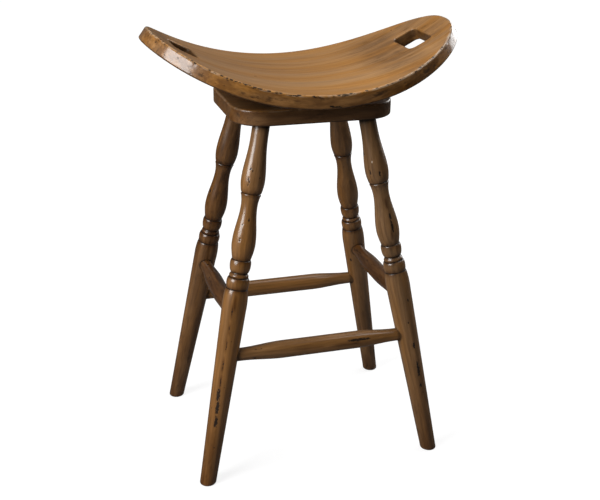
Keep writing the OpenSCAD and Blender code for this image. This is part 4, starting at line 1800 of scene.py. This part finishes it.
@dataclass
class Studio:
    """The camera at the photograph's viewing angle, soft lamps and a pale floor."""

    azimuth: float = -16.77
    elevation: float = 22.27
    roll: float = 0.68
    distance: float = 1.79697
    aim_height: float = 0.39556
    offset: Pair = (0.00217, -0.039)
    focal_pixels: float = 1007.17
    image_width: float = 600.0
    sensor: float = 36.0
    floor_reach: float = 12.0
    lamps: tuple[Lamp, ...] = (
        Lamp("key", -70, 23, 2.2, (1.15, 1.25), 58),
        Lamp("key_upper", -62, 44, 2.2, (1.1, 0.8), 5),
        Lamp("kicker", 120, 15, 2.2, (1.5, 0.9), 20),
        Lamp("overhead_right", 88, 54, 2.0, (1.4, 1.0), 17),
        Lamp("overhead_back", 165, 62, 2.0, (1.2, 0.9), 6),
    )

    def build(self) -> None:
        """Sets up everything round the stool."""
        self._camera()
        self._world()
        self._floor()
        for lamp in self.lamps:
            lamp.build()
        bpy.context.scene.view_settings.view_transform = "Standard"

    def _camera(self) -> None:
        """Places the camera."""
        az, roll = math.radians(self.azimuth), math.radians(self.roll)
        back = outwards(self.azimuth, self.elevation)
        right = Vector((math.cos(az), math.sin(az), 0))
        up = back.cross(right)
        place = (Vector((0, 0, self.aim_height)) + back * self.distance + right * self.offset[0]
                 + up * self.offset[1])
        rolled_right = right * math.cos(roll) + up * math.sin(roll)
        rolled_up = up * math.cos(roll) - right * math.sin(roll)
        data = bpy.data.cameras.new("camera")
        data.sensor_width = self.sensor
        data.lens = self.focal_pixels / self.image_width * self.sensor
        data.clip_start, data.clip_end = 0.05, 60
        camera = added("camera", data)
        turned = Matrix((rolled_right, rolled_up, back)).transposed().to_4x4()
        camera.matrix_world = Matrix.Translation(place) @ turned
        bpy.context.scene.camera = camera

    def _world(self) -> None:
        """White behind the stool for the camera, and a soft grey room for everything else."""
        world = bpy.data.worlds.new("studio")
        bpy.context.scene.world = world
        world.use_nodes = True
        g = Graph(world.node_tree)
        path = g.node("ShaderNodeLightPath").outputs
        heading = g.separate(g.node("ShaderNodeTexCoord").outputs["Generated"])["Y"]
        room, mirrored, seen = (
            g.node("ShaderNodeBackground", {"Color": WHITE, "Strength": strength}).outputs[0]
            for strength in (0.1, g.band(heading, -0.3, 0.7, 0.02, 0.08), 1.0))
        first = g.node("ShaderNodeMixShader", {0: g.shiny_rays(path), 1: room, 2: mirrored})
        last = g.node("ShaderNodeMixShader", {
            0: path["Is Camera Ray"], 1: first.outputs[0], 2: seen})
        g.node("ShaderNodeOutputWorld", {"Surface": last.outputs[0]})

    def _floor(self) -> None:
        """A wide pale floor that keeps the stool's shadow and is white further away."""
        reach = self.floor_reach
        mesh = bpy.data.meshes.new("floor")
        mesh.from_pydata([(x * reach, y * reach, 0) for x, y in
                          ((-1, -1), (1, -1), (1, 1), (-1, 1))], [], [(0, 1, 2, 3)])
        material = new_material("pale_floor")
        g = Graph(material.node_tree)
        path = g.node("ShaderNodeLightPath").outputs
        matt = g.node("ShaderNodeBsdfDiffuse", {
            "Color": g.mix(g.shiny_rays(path), (0.28, 0.28, 0.28), (0.1, 0.1, 0.1))})
        away = g.vector("LENGTH", g.node("ShaderNodeTexCoord").outputs["Object"], output="Value")
        glow = g.math("MULTIPLY", path["Is Camera Ray"], g.band(away, 0.4, 2.6, 0.8, 1.0))
        white = g.node("ShaderNodeEmission", {"Color": WHITE, "Strength": glow})
        both = g.node("ShaderNodeAddShader", {0: matt.outputs[0], 1: white.outputs[0]})
        g.node("ShaderNodeOutputMaterial", {"Surface": both.outputs[0]})
        mesh.materials.append(material)
        added("floor", mesh)


class Ring(GeometryGraph):
    """A node tree that sets copies of a part in a ring round the Z axis.

    Its inputs are the ring's radius, the first copy's angle from +X, the copies' level, how
    far each is tilted over about X, how many there are, and a seed for how each is turned.
    """

    def __init__(self) -> None:
        """Builds the tree once for the balls and the screws."""
        super().__init__("Ring", {
            "Part": "Geometry", "Radius": "Float", "First Angle": "Float", "Level": "Float",
            "Tilt": "Float", "Count": "Int", "Seed": "Int"})
        given = self.given
        index = self.node("GeometryNodeInputIndex").outputs[0]
        share = self.math("DIVIDE", index, given["Count"])
        turn = self.math("MULTIPLY_ADD", share, math.tau, given["First Angle"])
        points = self.node("GeometryNodePoints", {"Count": given["Count"]}).outputs[0]
        placed = self.node("GeometryNodeSetPosition", {
            "Geometry": points,
            "Position": self.round_z(given["Radius"], turn, given["Level"])}).outputs[0]
        chance = self.chance(self.math("ADD", index, given["Seed"]))
        turned = self.combine(X=given["Tilt"], Z=self.math("MULTIPLY", chance, math.tau))
        copies = self.node("GeometryNodeInstanceOnPoints", {
            "Points": placed, "Instance": given["Part"], "Rotation": turned})
        self.end(copies.outputs[0])


@dataclass
class Screws:
    """The wood screws that hold a swivel plate at its corners."""

    ring: Ring
    dress: Dress
    offset: float = 0.058
    head_radius: float = 0.0042
    head_height: float = 0.0026
    head_side: float = 0.35
    shank_radius: float = 0.0021
    tip_radius: float = 0.0003
    length: float = 0.014
    tip_length: float = 0.004
    pitch: float = 0.0018
    thread_depth: float = 0.00055
    recess: Triple = (0.0022, 0.00045, 0.0013)
    facets: int = 24

    def screw(self) -> Mesh:
        """Makes one screw.

        Returns:
            Its mesh, with the head's underside at the origin and the shank along +Z.
        """
        side = self.head_height * self.head_side
        rows = [(-side - (self.head_height - side) * math.cos(a), self.head_radius * math.sin(a),
                 0.0) for a in np.linspace(0, math.pi / 2, 8)]
        rows += [(0.0, self.head_radius, 0.0), (0.0, self.shank_radius, 0.0)]
        for z in np.arange(self.pitch, self.length, self.pitch / 8):
            share = min(1.0, (self.length - z) / self.tip_length)
            rows.append((z, max(self.shank_radius * share, self.tip_radius),
                         self.thread_depth * share))
        rows.append((self.length, 0.0, 0.0))
        points = []
        for z, radius, depth in rows:
            for turn in np.linspace(0, math.tau, self.facets, endpoint=False):
                phase = (z / self.pitch - turn / math.tau) % 1
                r = max(radius - depth * min(1.0, 3 * abs(phase - 0.5)), 0.0)
                points.append((r * math.cos(turn), r * math.sin(turn), z))
        n = self.facets
        faces = [(k * n + j, k * n + (j + 1) % n, (k + 1) * n + (j + 1) % n, (k + 1) * n + j)
                 for k in range(len(rows) - 1) for j in range(n)]
        return cut(mesh_of(np.array(points), faces), self._cross())

    def _cross(self) -> Mesh:
        """Makes the cross that is pressed into the head.

        Returns:
            Its mesh, which stands a little out of the head.
        """
        arm, half, depth = self.recess
        loop = np.array([(x * c - y * d, x * d + y * c)
                         for c, d in ((1, 0), (0, 1), (-1, 0), (0, -1))
                         for x, y in ((half, half), (half, arm), (-half, arm))])
        return prism(lifted(loop, -self.head_height - 0.001),
                     lifted(loop, -self.head_height + depth))

    def build(self, name: str, body: str, level: float, tilt: float, seed: int) -> None:
        """Drives four screws.

        Args:
            name: the solids that they stand for.
            body: the body that they ride on.
            level: the height of their heads' undersides.
            tilt: half a turn where they point down.
            seed: picks how each is turned.
        """
        mesh = self.ring.run(self.screw(), {
            "Radius": self.offset * math.sqrt(2), "First Angle": math.pi / 4, "Level": level,
            "Tilt": tilt, "Count": 4, "Seed": seed, "Finish": self.dress.material})
        new_piece(f"driven_{name}", mesh, self.dress, body, name)


@dataclass
class Swivel:
    """The ball bearing between the board and the seat."""

    nodes: dict[str, Piece]
    ring: Ring
    race_radius: float = 0.045
    ball_radius: float = 0.00312
    ball_count: int = 24
    middle: float = 0.651
    lower_flange: float = 0.645
    upper_flange: float = 0.657

    def build(self) -> None:
        """Dresses the pressed parts and makes the balls and screws."""
        steel = MetalFinish("zinc_steel", "plate_steel", (0.46, 0.46, 0.45))
        brass = MetalFinish("cage_brass", "cage_brass", (0.62, 0.43, 0.20))
        self._dress(steel, "swivel_lower_plate", "swivel_upper_plate", "swivel_rivet")
        self._dress(brass, "ball_cage", "thrust_washer")
        self._balls(MetalFinish("bright_steel", "ball_steel", (0.72, 0.72, 0.72), 0.2, 0.05))
        yellow = MetalFinish("yellow_zinc", "screw_steel", (0.60, 0.47, 0.24))
        screws = Screws(self.ring, yellow.build())
        screws.build("base_screws", "base", self.lower_flange, math.pi, 5)
        screws.build("seat_screws", "seat", self.upper_flange, 0.0, 9)

    def _dress(self, finish: MetalFinish, *names: str) -> None:
        """Gives carried-over solids their finish.

        Args:
            finish: the finish.
            names: the solids.
        """
        dress = finish.build()
        for name in names:
            node = self.nodes[name]
            node.data.materials.clear()
            node.data.materials.append(dress.material)
            LOG.info("%s: dressed in %s", node.name, dress.material.name)

    def _balls(self, finish: MetalFinish) -> None:
        """Sets the balls in their race.

        Args:
            finish: their finish.
        """
        dress = finish.build()
        bm = bmesh.new()
        bmesh.ops.create_uvsphere(bm, u_segments=28, v_segments=16, radius=self.ball_radius)
        ball = bpy.data.meshes.new("ball")
        bm.to_mesh(ball)
        bm.free()
        mesh = self.ring.run(ball, {
            "Radius": self.race_radius, "First Angle": 0.0, "Level": self.middle, "Tilt": 0.0,
            "Count": self.ball_count, "Seed": 0, "Finish": dress.material})
        new_piece("ring_of_balls", mesh, dress, "cage", "bearing_balls")


def leg_marks() -> dict[Corner, list[Mark]]:
    """Lists the dents and streaks on the front legs, about where the photographed stool has them.

    Returns:
        Each leg's marks.
    """
    dents = ((0.5576, -35, 5), (0.5551, -23, 4), (0.5412, -38, 7), (0.5366, -33, 5),
             (0.5314, -37, 5), (0.5452, 17, 3), (0.4644, -39, 4), (0.4414, -37, 4),
             (0.438, -38, 3), (0.3998, -42, 4), (0.183, -6, 3), (0.2658, -4, 3),
             (0.1419, -65, 4), (0.148, 21, 3), (0.072, -11, 3))
    scuffs = ((0.169, -30, 0.03), (0.146, -27, 0.034), (0.12, -24, 0.028))
    streaks = ((0.3323, -15), (0.3162, -22), (0.2861, -24), (0.2594, -26), (0.2235, -29),
               (0.191, -29))
    spots = ((0.5348, -5, 11, 6), (0.5395, -52, 11, 4), (0.4582, 11, 16, 8), (0.4405, 10, 30, 7),
             (0.214, 10, 16, 7), (0.167, 12, 42, 8), (0.135, 11, 12, 6), (0.1199, 17, 6, 4),
             (0.2605, 2, 6, 4), (0.3005, 20, 12, 4))
    left = [Mark(s, a, size * 0.001, 0.003, 0.0004, 1.1) for s, a, size in dents]
    left += [Mark(s, a, length, 0.01, 0.0005, 0.92) for s, a, length in scuffs]
    left += [Mark(s, a, 0.03, 0.005, strength=0.9, soft=True) for s, a in streaks]
    left += [Mark(s, a, 0.026, 0.0045, strength=0.72) for s, a in streaks[1:]]
    right = [Mark(s, a, length * 0.001, width * 0.001, 0.0005, 0.88)
             for s, a, length, width in spots]
    # painted highlight: the first mark here, with strength below 0, is a pale glint on the neck
    right += [Mark(0.5572, -33, 0.004, 0.002, 0.0002, -1.0),
              Mark(0.48, 5, 0.02, 0.006, strength=0.9, soft=True),
              Mark(0.4238, -2, 0.018, 0.004, strength=0.8, soft=True)]
    return {Corner.FRONT_LEFT: left, Corner.FRONT_RIGHT: right}


def stretcher_marks() -> dict[str, list[Mark]]:
    """Lists the dark scuffs on the front stretcher, where feet rest.

    Returns:
        Each stretcher's marks.
    """
    return {"stretcher_front": [
        Mark(0.068, -24, 0.055, 0.008, strength=0.9), Mark(0.105, -32, 0.016, 0.004, strength=0.7),
        Mark(-0.11, -50, 0.02, 0.004, strength=0.7),
        Mark(-0.02, -8, 0.05, 0.006, strength=0.7, soft=True),
        Mark(0.05, -5, 0.06, 0.008, strength=0.8, soft=True)]}


def main() -> None:
    """Builds the stool's looks round its frame and reports each piece."""
    logging.basicConfig(level=logging.INFO, format="%(name)s: %(message)s")
    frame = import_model()
    Studio().build()
    seat_wood = WoodFinish(
        "honey_stain", "seat_wood", (0.584, 0.292, 0.086), (0.462, 0.221, 0.060),
        (0.305, 0.138, 0.034), (0.323, 0.292, 0.276), stave=0.062, contrast=1.25,
        speck_share=0.015, coat=0.75)
    browns = ((0.272, 0.131, 0.043), (0.175, 0.083, 0.026), (0.083, 0.038, 0.0115),
              (0.42, 0.33, 0.21))
    base_wood = WoodFinish("brown_stain", "base_wood", *browns, contrast=1.3, speck_share=0.2,
                           coat=0.85, coat_roughness=0.22).build()
    board_wood = WoodFinish("board_stain", "base_wood", *browns, stave=0.09)
    lathe = Lathe()
    legs = Legs(lathe, base_wood, marks=leg_marks())
    stretchers = Stretchers(lathe, base_wood, legs=legs, marks=stretcher_marks())
    legs.build(stretchers.joints())
    stretchers.build()
    BaseBoard(board_wood, legs, spots=[
        # painted highlight: a pale spot where the board's front-right top edge shows a glint
        Spot((0.1178, -0.0904, 0.643), (0.004, 0.004, 0.003), 0.0004, -1.0),
        # painted shade: a soft darker patch on the board's top under the seat
        Spot((0.0, 0.0, 0.643), (0.12, 0.1, 0.01), soft=True)]).build()
    Seat(seat_wood).build()
    Swivel(frame["nodes"], Ring()).build()


if __name__ == "__main__":
    main()
